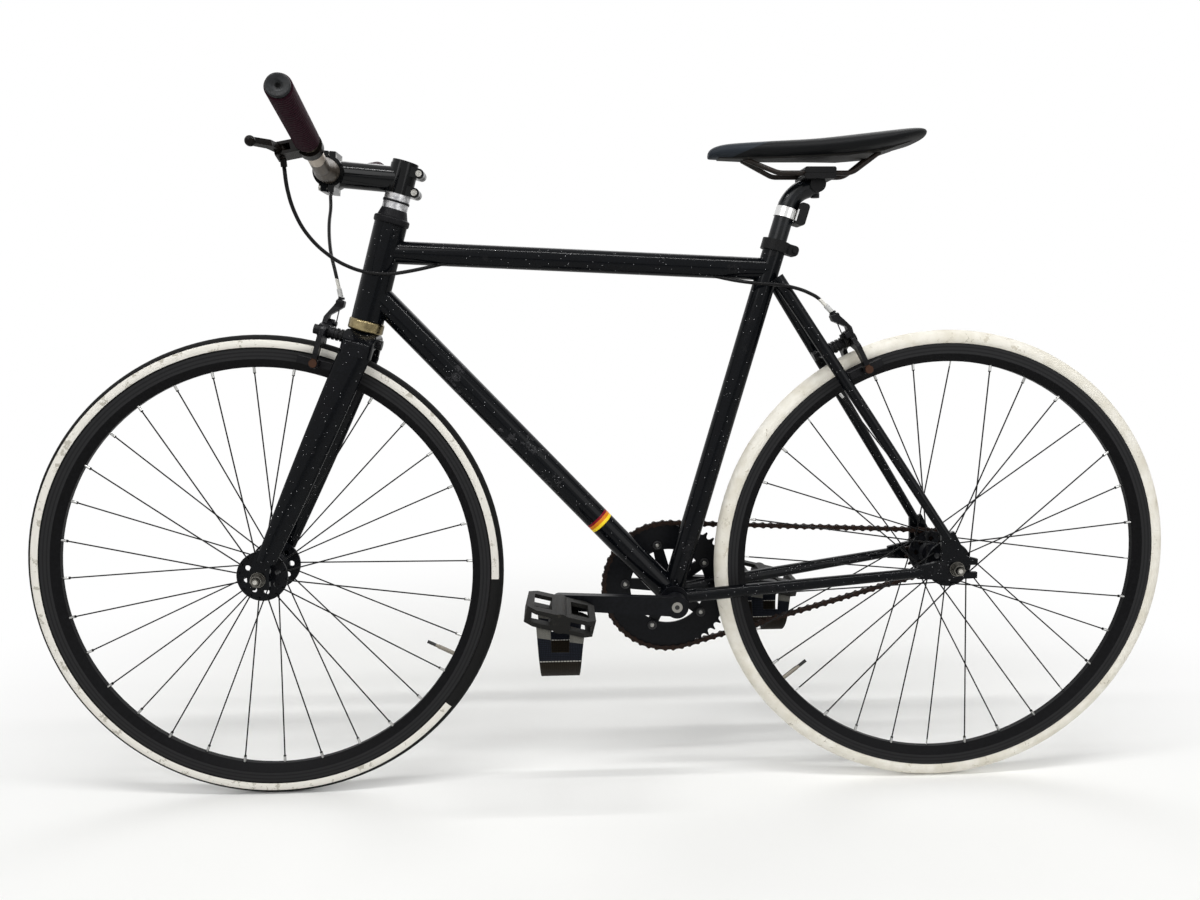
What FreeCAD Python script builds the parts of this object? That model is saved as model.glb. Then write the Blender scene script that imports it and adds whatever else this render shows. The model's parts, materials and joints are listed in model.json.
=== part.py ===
import FreeCAD, Part
import math
import os

os.makedirs("parts", exist_ok=True)
vec = FreeCAD.Vector

# A fixed gear bicycle in millimetres and degrees.
# X points forward, Y to the rider's left and Z up.
# The origin is on the ground in the middle plane, halfway between the wheels.

# Clearances
running = 0.05
face_gap = 0.2
soft_gap = 0.3
hole_gap = 0.3

# Frame
wheel_gap = 307.0
bracket_drop = 47.0
head_angle = 74.4
seat_angle = 73.8
head_tube_length = 136.0
head_tube_radius = 22.5
head_tube_wall = 3.0
top_tube_radius = 15.9
down_tube_radius = 18.0
seat_tube_radius = 15.9
tube_wall = 1.4
seat_tube_length = 530.0
top_tube_below_head_top = 38.3
top_tube_below_seat_top = 41.0
down_tube_on_head = 41.0
shell_radius = 20.0
shell_wall = 2.6
shell_length = 68.0
chainstay_radius = 9.5
chainstay_end_radius = 7.0
chainstay_side = 20.0
seatstay_radius = 9.0
seatstay_end_radius = 6.5
seatstay_side = 17.0
seatstay_below_seat_top = 50.0
seatstay_behind = 12.0
stay_wall = 1.2
stay_tip = 18.0
bridge_radius = 7.0

# Rear dropouts
rear_spacing = 120.0
dropout_thickness = 6.0
dropout_tail = 30.0
dropout_half_height = 14.0
chainstay_stop = 48.0
chainstay_drop = 5.0
seatstay_stop = 42.0
seatstay_stop_ahead = 12.0

# Seat clamp
collar_height = 15.0
collar_wall = 4.0
collar_lug = 13.0
collar_lug_round = 6.0
collar_slot = 3.0
collar_bolt_radius = 3.0

# Headset and steerer
steerer_radius = 14.3
steerer_wall = 2.0
lower_cup_height = 16.0
upper_cup_height = 10.0
cup_skirt = 12.0
cup_flange = 2.0
cup_round = 3.0
cover_step = 1.5
bearing_height = 7.0
cover_height = 11.0
spacer_height = 9.0
spacer_ring_height = 3.0
spacer_radius = 17.5

# Fork
fork_over_tyre = 46.5
fork_rake = 51.8
crown_height = 34.0
crown_arch = 18.0
crown_depth = 44.0
crown_half_width = 46.0
crown_shoulder = 3.0
crown_shoulder_round = 9.0
crown_end_round = 14.0
crown_top_round = 5.0
blade_width = 18.0
blade_depth_top = 44.0
blade_depth_middle = 39.0
blade_depth_end = 27.0
blade_wall = 1.6
blade_stop = 26.0
front_spacing = 100.0
fork_end_thickness = 6.0
fork_end_radius = 15.0

# Stem and handlebar
stem_length = 95.3
stem_drop_angle = 10.3
stem_clamp_height = 40.0
stem_clamp_wall = 4.6
stem_arm_radius = 18.0
stem_lug_radius = 6.8
stem_bolt_inset = 6.8
stem_cap_height = 5.0
bar_clamp_width = 42.0
bar_clamp_wall = 5.0
bar_clamp_split = 1.6
bar_clamp_lug = 27.0
bar_clamp_lug_depth = 18.0
stem_bolt_radius = 2.5
stem_bolt_head = 4.2
bar_radius = 11.1
bar_bulge_radius = 15.9
bar_bulge_half = 38.0
bar_taper_end = 60.0
bar_wall = 2.0
bar_bend_side = 62.0
bar_rise_angle = 11.2
bar_sweep_angle = 2.9
bar_bend_radius = 60.0
bar_end_run = 243.0
grip_length = 150.0
grip_radius = 15.8
grip_end_radius = 15.5
plug_radius = 13.8
plug_height = 4.0

# Brake levers
bracket_run = 72.0
bracket_droop = 13.0
bracket_ring_radius = 16.0
bracket_ring_width = 14.0
bracket_thickness = 16.0
lever_reach = 34.0
lever_offset = 5.0
lever_thickness = 8.0
lever_pin_radius = 2.5
lever_boss_radius = 7.0
lever_ball_radius = 6.5
lever_ball_out = 44.0
lever_ball_ahead = 27.0
lever_blade = 9.0
lever_barrel_radius = 4.0
lever_barrel_length = 10.0

# Brake calipers
caliper_over_tyre = 16.6
front_caliper_angle = 105.0
rear_caliper_behind_stays = 40.25
caliper_arm_thickness = 6.8
caliper_boss_radius = 9.0
caliper_bolt_radius = 3.0
caliper_nut_radius = 7.0
caliper_nut_height = 6.0
caliper_ribs = 5
caliper_rib_depth = 1.5
caliper_mount_radius = 9.0
caliper_arm_side = 25.0
caliper_arm_width = 10.0
caliper_arm_round = 2.5
barrel_side = 25.0
barrel_setback = 9.5
barrel_base = 38.0
barrel_boss_height = 9.0
barrel_radius = 3.5
barrel_length = 16.0
front_barrel_tilt = -25.0
rear_barrel_tilt = 20.0
anchor_side = 20.0
anchor_height = 12.0
anchor_radius = 3.5
pad_gap = 2.0
pad_length = 50.0
pad_height = 10.0
pad_thickness = 9.0
pad_bolt_radius = 3.0
pad_boss_radius = 7.0
pad_bolt_head = 5.5
wire_radius = 0.8
cable_radius = 2.5

# Wheels
tyre_height = 19.0
tyre_width = 24.6
tyre_wall = 2.0
bead_width = 2.8
rim_radius = 317.0
rim_depth = 26.0
rim_width = 22.0
rim_nose_width = 8.0
rim_wall = 2.0
rim_lip = 2.6
rim_track = 15.0
rim_bed_depth = 9.0
tube_radius = 8.6
tube_wall_thickness = 0.9
valve_radius = 3.0
valve_length = 42.0
front_valve_angle = -153.4
rear_valve_angle = -38.0
spoke_count = 32
spoke_radius = 1.0
spoke_rim_side = 2.0
spoke_head_radius = 1.9
spoke_head_height = 1.0
spoke_cross_angle = 67.5
nipple_radius = 2.0
nipple_length = 9.0
nipple_head_radius = 3.0
nipple_head_height = 3.0

# Hubs and axles
flange_side = 35.0
flange_thickness = 3.2
front_flange_radius = 35.5
rear_flange_radius = 33.0
spoke_circle_inset = 4.0
hub_barrel_radius = 14.0
hub_flare = 4.0
hub_window_count = 8
hub_window_radius = 4.0
hub_bearing_radius = 11.0
hub_bearing_width = 8.0
hub_wall = 2.5
front_axle_radius = 4.5
rear_axle_radius = 5.0
cone_radius = 8.0
nut_radius = 8.6
nut_height = 9.0
washer_radius = 10.5
washer_height = 2.0
axle_tail = 4.0

# Drive
chain_pitch = 12.7
wheel_clearance = 58.0
ring_teeth = 48
cog_teeth = 16
chain_line = 45.0
sprocket_thickness = 3.0
roller_radius = 3.97
seat_clearance = 0.12
tooth_height = 3.2
tooth_tip = 1.8
pin_radius = 1.8
link_half_height = 4.3
link_waist = 1.8
link_plate = 1.0
inner_half_width = 1.7
ring_bore_radius = 57.0
ring_bolt_circle = 65.0
ring_bolt_count = 5
ring_bolt_radius = 5.0
ring_bolt_head = 7.0
ring_bolt_head_height = 1.6
thread_radius = 17.4
lockring_radius = 22.0
lockring_height = 4.0

# Cranks and pedals
crank_length = 165.0
crank_rise_angle = 3.6
crank_thickness = 13.0
crank_side = 64.0
crank_boss_radius = 16.0
crank_boss_length = 23.0
crank_root_width = 27.0
crank_tip_width = 22.0
spider_thickness = 5.5
spider_arm_width = 15.0
spindle_radius = 8.5
spindle_square = 12.6
bracket_cup_flange = 4.0
bracket_cup_radius = 21.0
bracket_cup_depth = 16.0
crank_bolt_head = 7.5
crank_bolt_height = 3.0
pedal_spindle_radius = 5.0
pedal_width = 94.0
pedal_length = 92.0
pedal_height = 22.0
pedal_gap = 3.5
pedal_tilt = 14.0
pedal_barrel_radius = 13.0
pedal_window_length = 24.0
pedal_window_width = 58.0
pedal_rail = 9.0
pedal_plate = 5.5
pedal_end_wall = 5.0
pedal_corner = 12.0
pedal_cap_height = 3.0
strap_width = 62.0
strap_end_width = 50.0
strap_thickness = 3.0
strap_hang = 66.0
strap_inset = 3.0
strap_curl = 0.4

# Seatpost and saddle
post_radius = 13.6
post_wall = 2.2
post_insertion = 130.0
post_rise = 67.0
post_bend_radius = 40.0
post_layback = 36.5
post_layback_angle = 19.0
clamp_head_radius = 11.0
clamp_head_length = 33.0
rail_radius = 3.5
rail_side = 21.0
rail_height = 14.0
rail_bend_radius = 25.0
rail_clamp_length = 44.0
rail_clamp_plate = 8.0
rail_clamp_margin = 7.0
rail_clamp_round = 3.0
rail_clamp_bolt_radius = 3.0
saddle_length = 296.0
saddle_nose_ahead = 153.0
saddle_half_width = 68.0
saddle_base_thickness = 5.0
band_height = 14.0
band_wall = 1.6
reflector_height = 31.0
reflector_depth = 15.0
reflector_half_width = 15.0
reflector_round = 5.0


def rod(start, end, radius):
    """Solid round bar between two points."""
    return Part.makeCylinder(radius, start.distanceToPoint(end), start, end - start)


def rounded_rod(start, end, radius, corner):
    """Solid round bar with the rims of its ends rounded."""
    bar = rod(start, end, radius)
    return bar.makeFillet(corner, [edge for edge in bar.Edges if isinstance(edge.Curve, Part.Circle)])


def rounded(prism, direction, corner):
    """Prism with its edges along a direction rounded."""
    return prism.makeFillet(corner, [edge for edge in prism.Edges
                                     if abs(edge.tangentAt(edge.FirstParameter).dot(direction)) > 0.99])


def cone(start, end, start_radius, end_radius):
    """Solid tapered bar between two points."""
    return Part.makeCone(start_radius, end_radius, start.distanceToPoint(end), start, end - start)


def pipe(start, end, radius, wall):
    """Round tube between two points."""
    return rod(start, end, radius).cut(rod(start, end, radius - wall))


def polar(angle, length=1.0):
    """Vector in the middle plane, at an angle from forward towards up."""
    turn = math.radians(angle)
    return vec(math.cos(turn), 0, math.sin(turn)) * length


def outline_face(points):
    """Flat face inside a closed outline."""
    return Part.Face(Part.makePolygon(points + points[:1]))


def lathe(profile, centre):
    """Outline of (radius, side) pairs turned about the wheel axis through a centre."""
    points = [centre + vec(radius, side, 0) for radius, side in profile]
    return outline_face(points).revolve(centre, vec(0, 1, 0), 360)


def both_sides(half):
    """Outline of (radius, side) pairs closed by its own mirror image."""
    return half + [(radius, -side) for radius, side in reversed(half)]


def plate(outline, side, thickness):
    """Outline of (x, z) pairs standing at one side and running to the left."""
    points = [vec(x, side, z) for x, z in outline]
    return outline_face(points).extrude(vec(0, thickness, 0))


def mirrored(shape):
    """The same piece on the other side of the bicycle."""
    return shape.mirror(vec(0, 0, 0), vec(0, 1, 0))


def frame_at(origin, x_axis, y_axis):
    """Placement with its own X and Y axes."""
    z_axis = x_axis.cross(y_axis)
    return FreeCAD.Placement(FreeCAD.Matrix(
        x_axis.x, y_axis.x, z_axis.x, origin.x,
        x_axis.y, y_axis.y, z_axis.y, origin.y,
        x_axis.z, y_axis.z, z_axis.z, origin.z,
        0, 0, 0, 1))


def placed(shape, placement):
    """Copy of a piece drawn at the origin, set in its place."""
    copy = shape.copy()
    copy.Placement = placement.multiply(copy.Placement)
    return copy


def bent_path(points, bend_radius=None):
    """Straight runs joined by tangent arcs, each as large as its runs allow unless given."""
    edges = []
    radii = []
    last = points[0]
    for before, corner, after in zip(points, points[1:], points[2:]):
        incoming = (before - corner).normalize()
        outgoing = (after - corner).normalize()
        half_turn = (math.pi - incoming.getAngle(outgoing)) / 2
        shorter = min(before.distanceToPoint(corner), corner.distanceToPoint(after))
        radius = bend_radius or 0.45 * shorter / math.tan(half_turn)
        reach = radius * math.tan(half_turn)
        start = corner + incoming * reach
        end = corner + outgoing * reach
        inward = (incoming + outgoing).normalize()
        middle = corner + inward * (radius / math.cos(half_turn) - radius)
        edges.append(Part.LineSegment(last, start).toShape())
        edges.append(Part.Arc(start, middle, end).toShape())
        radii.append(radius)
        last = end
    edges.append(Part.LineSegment(last, points[-1]).toShape())
    return Part.Wire(edges), radii


def bent_rod(points, radius, bend_radius=None):
    """Round bar along a bent path."""
    path, radii = bent_path(points, bend_radius)
    section = Part.Wire(Part.makeCircle(radius, points[0], points[1] - points[0]))
    return path.makePipeShell([section], True, False)


def cable(name, points, radius):
    """Cable along its route, with its least bend and its volume against its length printed."""
    path, radii = bent_path(points)
    tube = bent_rod(points, radius)
    filled = tube.Volume / (math.pi * radius ** 2 * path.Length)
    print(name, "bend radii", [round(value) for value in radii], "filled", round(filled, 3))
    return tube


def save(name, *solids):
    """Write one sub-part."""
    Part.makeCompound(list(solids)).exportStep("parts/" + name + ".step")


# Places shared by the pieces
left = vec(0, 1, 0)
tyre_radius = rim_radius + tyre_height
wheelbase = tyre_radius * 2 + wheel_gap
bracket_height = tyre_radius - bracket_drop
fork_length = tyre_radius + fork_over_tyre
caliper_radius = tyre_radius + caliper_over_tyre
top_tube_on_head = head_tube_length - top_tube_below_head_top
top_tube_on_seat = seat_tube_length - top_tube_below_seat_top
seatstay_on_seat = seat_tube_length - seatstay_below_seat_top
post_foot = seat_tube_length - post_insertion
post_bend = seat_tube_length + post_rise
front_axle = vec(wheelbase / 2, 0, tyre_radius)
rear_axle = vec(-wheelbase / 2, 0, tyre_radius)
head_up = polar(180 - head_angle)
head_forward = polar(90 - head_angle)
head_foot = front_axle + head_up * fork_length - head_forward * fork_rake
seat_up = polar(180 - seat_angle)
seat_forward = polar(90 - seat_angle)
dropout_inner = rear_spacing / 2
dropout_middle = dropout_inner + dropout_thickness / 2


def sprocket_radius(teeth):
    """Radius of the circle of roller centres."""
    return chain_pitch / (2 * math.sin(math.pi / teeth))


ring_radius = sprocket_radius(ring_teeth)
cog_radius = sprocket_radius(cog_teeth)


def links_round(distance):
    """Links in a chain drawn tight round both sprockets at this distance."""
    spread = math.acos((ring_radius - cog_radius) / distance)
    straight = math.sqrt(distance ** 2 - (ring_radius - cog_radius) ** 2)
    on_ring = ring_teeth * (1 - spread / math.pi)
    on_cog = cog_teeth * spread / math.pi
    return on_ring + on_cog + 2 * straight / chain_pitch


# The chain has the fewest pairs of links that keep the rear wheel clear of the seat tube
# The wheel sits in its slots where the chain is tight, which sets the distance to the cranks
chain_links = 2 * math.ceil(links_round(tyre_radius + wheel_clearance) / 2)
nearest = ring_radius + cog_radius
farthest = chain_links * chain_pitch / 2
for step in range(60):
    middle = (nearest + farthest) / 2
    if links_round(middle) < chain_links:
        nearest = middle
    else:
        farthest = middle
chain_centres = nearest
axle_lift = rear_axle.z - bracket_height
bracket = vec(rear_axle.x + math.sqrt(chain_centres ** 2 - axle_lift ** 2), 0, bracket_height)


def on_head(up, forward=0.0, side=0.0):
    """Point measured from the foot of the head tube, along and ahead of the steering axis."""
    return head_foot + head_up * up + head_forward * forward + left * side


def on_seat(up, forward=0.0, side=0.0):
    """Point measured from the bottom bracket, along and ahead of the seat tube."""
    return bracket + seat_up * up + seat_forward * forward + left * side


# Caliper places: X along the centre bolt away from its mount, Z away from the wheel axle
# The rear one stays at its distance behind the seatstays
def caliper_place(axle, angle, facing):
    """Placement of a caliper that faces forward (1) or back (-1)."""
    radial = polar(angle)
    bolt = vec(radial.z, 0, -radial.x) * facing
    return frame_at(axle + radial * caliper_radius, bolt, radial.cross(bolt))


seatstay_foot = rear_axle + vec(seatstay_stop_ahead, dropout_middle, seatstay_stop)
seatstay_top = on_seat(seatstay_on_seat, -seatstay_behind, seatstay_side)
stay_plane = (seatstay_top - seatstay_foot).cross(left).normalize()
stay_line = left.cross(stay_plane)
rear_caliper_back = (seatstay_foot - rear_axle).dot(stay_plane) + rear_caliper_behind_stays
rear_caliper_up = math.sqrt(caliper_radius ** 2 - rear_caliper_back ** 2)
rear_caliper_reach = stay_plane * rear_caliper_back + stay_line * rear_caliper_up
rear_caliper_angle = math.degrees(math.atan2(rear_caliper_reach.z, rear_caliper_reach.x))
front_caliper = caliper_place(front_axle, front_caliper_angle, 1)
rear_caliper = caliper_place(rear_axle, rear_caliper_angle, -1)


def along_bolt(caliper, reach):
    """Point on a caliper's centre bolt."""
    return caliper.multVec(vec(reach, 0, 0))


def bolt_reach(caliper, point, normal):
    """Distance along a centre bolt to the plane through a point."""
    origin = along_bolt(caliper, 0)
    direction = along_bolt(caliper, 1) - origin
    return (point - origin).dot(normal) / direction.dot(normal)


# Main frame tubes, mitred where they meet
head_rod = rod(on_head(0), on_head(head_tube_length), head_tube_radius)
head_bore_radius = head_tube_radius - head_tube_wall
head_tube = head_rod.cut(rod(on_head(0), on_head(head_tube_length), head_bore_radius))

seat_rod = rod(bracket, on_seat(seat_tube_length), seat_tube_radius)
seat_bore = rod(bracket, on_seat(seat_tube_length), post_radius + running)
shell_half = shell_length / 2
shell_rod = rod(bracket - left * shell_half, bracket + left * shell_half, shell_radius)
shell_bore_radius = shell_radius - shell_wall
bottom_bracket_shell = shell_rod.cut(
    rod(bracket - left * shell_half, bracket + left * shell_half, shell_bore_radius))
seat_tube = seat_rod.cut(seat_bore).cut(shell_rod)

down_tube = pipe(bracket, on_head(down_tube_on_head), down_tube_radius, tube_wall)
down_tube = down_tube.cut(head_rod).cut(shell_rod).cut(seat_rod)

top_tube = pipe(on_head(top_tube_on_head), on_seat(top_tube_on_seat), top_tube_radius, tube_wall)
top_tube = top_tube.cut(head_rod).cut(seat_rod)

save("head_tube", head_tube)
save("down_tube", down_tube)
save("seat_tube", seat_tube)
save("bottom_bracket_shell", bottom_bracket_shell)

# Rear dropouts: plates with a slot that opens to the rear
slot_half = rear_axle_radius + hole_gap
chainstay_foot = rear_axle + vec(chainstay_stop, dropout_middle, -chainstay_drop)
dropout_outline = [
    (rear_axle.x - dropout_tail, rear_axle.z - dropout_half_height),
    (rear_axle.x - dropout_tail, rear_axle.z + dropout_half_height),
    (rear_axle.x - dropout_half_height, rear_axle.z + dropout_half_height + 4),
    (seatstay_foot.x - seatstay_end_radius, seatstay_foot.z + 12),
    (seatstay_foot.x + seatstay_end_radius + 5, seatstay_foot.z + 6),
    (rear_axle.x + dropout_half_height + 8, rear_axle.z + dropout_half_height - 2),
    (chainstay_foot.x + 8, chainstay_foot.z + chainstay_end_radius + 2),
    (chainstay_foot.x + 8, chainstay_foot.z - chainstay_end_radius - 2),
    (rear_axle.x + dropout_half_height, rear_axle.z - dropout_half_height - 2),
]
slot = Part.makeBox(dropout_tail * 2, dropout_thickness * 3, slot_half * 2,
                    vec(rear_axle.x - dropout_tail * 2, dropout_inner - dropout_thickness,
                        rear_axle.z - slot_half))
slot = slot.fuse(rod(rear_axle + left * (dropout_inner - dropout_thickness),
                     rear_axle + left * (dropout_inner + dropout_thickness * 2), slot_half))
dropout_blank = plate(dropout_outline, dropout_inner, dropout_thickness)
left_dropout = dropout_blank.cut(slot)

# Chainstays and seatstays: tapered tubes with solid ends, slotted over the dropouts
def stay(start, end, start_radius, end_radius, start_cap):
    """Tapered tube whose end is solid, and its start too for a given length."""
    solid = cone(start, end, start_radius, end_radius)
    length = start.distanceToPoint(end)
    along = (end - start).normalize()
    taper = (end_radius - start_radius) / length
    bore_end = length - stay_tip
    bore = cone(start + along * start_cap, start + along * bore_end,
                start_radius + taper * start_cap - stay_wall, start_radius + taper * bore_end - stay_wall)
    return solid, solid.cut(bore)


shell_side = bracket + left * chainstay_side
chainstay_root = shell_side + (chainstay_foot - shell_side).normalize() * (shell_radius * 0.7)
chainstay = stay(chainstay_root, chainstay_foot, chainstay_radius, chainstay_end_radius, 0)[1]
chainstay = chainstay.cut(shell_rod).cut(dropout_blank)

seatstay_solid, seatstay = stay(seatstay_top, seatstay_foot, seatstay_radius, seatstay_end_radius, stay_tip)
seatstay = seatstay.cut(seat_rod).cut(dropout_blank)

# Bridge between the seatstays, drilled for the rear brake's centre bolt
bridge_reach = bolt_reach(rear_caliper, seatstay_foot, stay_plane)
bridge_centre = along_bolt(rear_caliper, bridge_reach)
bridge = rod(bridge_centre - left * crown_half_width, bridge_centre + left * crown_half_width,
             bridge_radius)
bridge = bridge.cut(seatstay_solid).cut(mirrored(seatstay_solid))
bridge = min(bridge.Solids, key=lambda solid: solid.CenterOfMass.distanceToPoint(bridge_centre))
bridge = bridge.cut(rod(along_bolt(rear_caliper, bridge_reach - bridge_radius * 2),
                        along_bolt(rear_caliper, 0), caliper_bolt_radius + hole_gap))

save("chainstays", chainstay, mirrored(chainstay))
save("seatstays", seatstay, mirrored(seatstay), bridge)
save("rear_dropouts", left_dropout, mirrored(left_dropout))

# Seat clamp: a slotted collar round the top of the seat tube, with its bolt behind
collar_low = on_seat(seat_tube_length - collar_height)
collar_high = on_seat(seat_tube_length)
collar_radius = seat_tube_radius + collar_wall
lug_back = -collar_radius - collar_lug
lug_side = 8.0
collar_frame = frame_at(collar_low, seat_forward, left)
lug = Part.makeBox(-lug_back, lug_side * 2, collar_height, vec(lug_back, -lug_side, 0))
lug = placed(rounded(lug, left, collar_lug_round), collar_frame)
collar_slot_box = placed(Part.makeBox(-lug_back, collar_slot, collar_height,
                                      vec(lug_back, -collar_slot / 2, 0)), collar_frame)
bolt_line = on_seat(seat_tube_length - collar_height / 2, lug_back + collar_bolt_radius * 2)
bolt_reach_side = lug_side + collar_bolt_radius
collar_bolt = rod(bolt_line - left * bolt_reach_side, bolt_line + left * bolt_reach_side,
                  collar_bolt_radius)
collar = rod(collar_low, collar_high, collar_radius).fuse(lug).cut(collar_slot_box)
collar = collar.cut(rod(collar_low, collar_high, seat_tube_radius)).cut(collar_bolt)
save("seat_clamp", collar, collar_bolt)

# Headset: cups pressed into the head tube, each holding a bearing that the steerer turns in
bearing_bore = steerer_radius + running


def headset_cup(low, high, skirt_low, skirt_high):
    """Cup with a skirt inside the head tube, bored for its bearing."""
    cup = rounded_rod(on_head(low), on_head(high), head_tube_radius + cup_flange, cup_round)
    cup = cup.fuse(rod(on_head(skirt_low), on_head(skirt_high), head_bore_radius))
    lowest = min(low, skirt_low)
    highest = max(high, skirt_high)
    return cup.cut(rod(on_head(lowest), on_head(highest), head_bore_radius - head_tube_wall / 2))


def headset_bearing(low):
    """Bearing ring inside a cup."""
    high = low + bearing_height
    seat_radius = head_bore_radius - head_tube_wall / 2
    return rod(on_head(low), on_head(high), seat_radius).cut(rod(on_head(low), on_head(high), bearing_bore))


cup_top = head_tube_length + upper_cup_height
save("lower_headset_cup", headset_cup(-lower_cup_height, 0, 0, cup_skirt),
     headset_bearing(-lower_cup_height))
save("upper_headset_cup",
     headset_cup(head_tube_length, cup_top, head_tube_length - cup_skirt, head_tube_length),
     headset_bearing(cup_top - bearing_height))

# Above the upper cup: tapered cover, bright spacers with a black ring between them
cover_low = cup_top + face_gap
cover_high = cover_low + cover_height
cover = cone(on_head(cover_low), on_head(cover_high), head_tube_radius - cover_step, spacer_radius)
cover = cover.cut(rod(on_head(cover_low), on_head(cover_high), steerer_radius))
first_spacer_high = cover_high + spacer_height
ring_high = first_spacer_high + spacer_ring_height
stem_low = ring_high + spacer_height
stem_high = stem_low + stem_clamp_height
first_spacer = pipe(on_head(cover_high), on_head(first_spacer_high), spacer_radius,
                    spacer_radius - steerer_radius)
black_ring = pipe(on_head(first_spacer_high), on_head(ring_high), spacer_radius + 0.8,
                  spacer_radius + 0.8 - steerer_radius)
second_spacer = pipe(on_head(ring_high), on_head(stem_low), spacer_radius,
                     spacer_radius - steerer_radius)
save("headset_cover", cover, black_ring)
save("headset_spacers", first_spacer, second_spacer)

# Fork crown with the steerer and the crown race, drilled for the front brake
crown_top = -lower_cup_height - face_gap
crown_foot = crown_top - crown_height
arch_top = crown_top - crown_arch
blade_inner = crown_half_width - blade_width
crown_half_outline = [
    (head_bore_radius, crown_top),
    (crown_half_width - crown_shoulder, arch_top + crown_shoulder),
    (crown_half_width, crown_foot),
    (blade_inner, crown_foot),
    (blade_inner - 6, arch_top - 3),
    (0, arch_top),
]
crown_outline = crown_half_outline + [(-side, up) for side, up in reversed(crown_half_outline[:-1])]
crown_face = outline_face([on_head(up, -crown_depth / 2, side) for side, up in crown_outline])
crown = crown_face.extrude(head_forward * crown_depth)
shoulder_side = crown_half_width - crown_shoulder
crown = crown.makeFillet(crown_shoulder_round, [edge for edge in crown.Edges
                                                if abs(abs(edge.CenterOfMass.y) - shoulder_side) < 0.1])
top_middles = [on_head(crown_top, reach) for reach in (crown_depth / 2, -crown_depth / 2)]
crown = crown.makeFillet(crown_top_round, [edge for edge in crown.Edges
                                           if edge.CenterOfMass.distanceToPoint(top_middles[0]) < 0.1
                                           or edge.CenterOfMass.distanceToPoint(top_middles[1]) < 0.1])
crown_plan = Part.makeBox(crown_depth, crown_half_width * 2, crown_height,
                          vec(-crown_depth / 2, -crown_half_width, 0))
crown_plan = rounded(crown_plan, vec(0, 0, 1), crown_end_round)
crown = crown.common(placed(crown_plan, frame_at(on_head(crown_foot), head_forward, left)))
crown = crown.fuse(rod(on_head(crown_top), on_head(stem_high), steerer_radius))
crown = crown.cut(rod(on_head(crown_top - crown_arch / 2), on_head(stem_high), steerer_radius - steerer_wall))
crown_front_reach = bolt_reach(front_caliper, on_head(0, crown_depth / 2), head_forward)
crown_back_reach = bolt_reach(front_caliper, on_head(0, -crown_depth / 2), head_forward)
crown = crown.cut(rod(along_bolt(front_caliper, crown_back_reach), along_bolt(front_caliper, 0),
                      caliper_bolt_radius + hole_gap))
save("fork_crown", crown)

# Fork blades: flattened tapering tubes with slotted ends for the front axle
fork_end_inner = front_spacing / 2
fork_end_middle = fork_end_inner + fork_end_thickness / 2
blade_top_side = crown_half_width - blade_width / 2
axle_up = (front_axle - head_foot).dot(head_up)
blade_end_up = axle_up + blade_stop


def blade_section(share, depth, width):
    """Ellipse across the blade, part of the way from the crown to the axle."""
    up = crown_foot + (blade_end_up - crown_foot) * share
    forward = fork_rake * (up - crown_foot) / (axle_up - crown_foot)
    side = blade_top_side + (fork_end_middle - blade_top_side) * share
    ellipse = Part.Ellipse(on_head(up, forward + depth / 2, side), on_head(up, forward, side + width / 2),
                           on_head(up, forward, side))
    return Part.Wire(ellipse.toShape())


def blade_body(shrink):
    """Loft of the blade, drawn in by a wall."""
    sections = [
        blade_section(0.0, blade_depth_top - shrink, blade_width - shrink),
        blade_section(0.5, blade_depth_middle - shrink, blade_width - shrink),
        blade_section(1.0, blade_depth_end - shrink, blade_width - 3 - shrink),
    ]
    return Part.makeLoft(sections, True, False)


blade_foot = on_head(blade_end_up, fork_rake * (blade_end_up - crown_foot) / (axle_up - crown_foot))
fork_end_outline = [
    (front_axle.x - fork_end_radius, front_axle.z - fork_end_radius),
    (front_axle.x - fork_end_radius, front_axle.z + 4),
    (blade_foot.x - blade_depth_end * 0.36, blade_foot.z + 12),
    (blade_foot.x + blade_depth_end * 0.36, blade_foot.z + 18),
    (front_axle.x + fork_end_radius, front_axle.z + 4),
    (front_axle.x + fork_end_radius, front_axle.z - fork_end_radius),
]
fork_end = plate(fork_end_outline, fork_end_inner, fork_end_thickness)
front_slot_half = front_axle_radius + hole_gap
front_slot = Part.makeBox(front_slot_half * 2, fork_end_thickness * 3, fork_end_radius * 2,
                          vec(front_axle.x - front_slot_half, fork_end_inner - fork_end_thickness,
                              front_axle.z - fork_end_radius * 2))
front_slot = front_slot.fuse(rod(front_axle + left * (fork_end_inner - fork_end_thickness),
                                 front_axle + left * (fork_end_inner + fork_end_thickness * 2),
                                 front_slot_half))
blade = blade_body(0).cut(blade_body(blade_wall * 2)).fuse(fork_end).cut(front_slot)
save("fork_blades", blade, mirrored(blade))

# Stem: clamp on the steerer, arm and bar clamp with a separate face plate
stem_middle = (stem_low + stem_high) / 2
stem_root = on_head(stem_middle)
stem_forward = polar(90 - head_angle - stem_drop_angle)
bar_centre = stem_root + stem_forward * stem_length
stem_frame = frame_at(bar_centre, stem_forward, left)
stem_clamp_radius = steerer_radius + stem_clamp_wall
bar_clamp_radius = bar_bulge_radius + bar_clamp_wall
half_clamp = bar_clamp_width / 2
bar_clamp = Part.makeCylinder(bar_clamp_radius, bar_clamp_width, vec(0, -half_clamp, 0), left)
bar_clamp = bar_clamp.fuse(Part.makeBox(
    bar_clamp_lug_depth, bar_clamp_width, bar_clamp_lug * 2,
    vec(-bar_clamp_lug_depth / 2, -half_clamp, -bar_clamp_lug)))
stem_bolt_height = (bar_bulge_radius + bar_clamp_lug) / 2
stem_bolt_side = half_clamp - stem_bolt_head - 2
bolt_front = bar_clamp_lug_depth / 2
face_bolts = []
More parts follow.
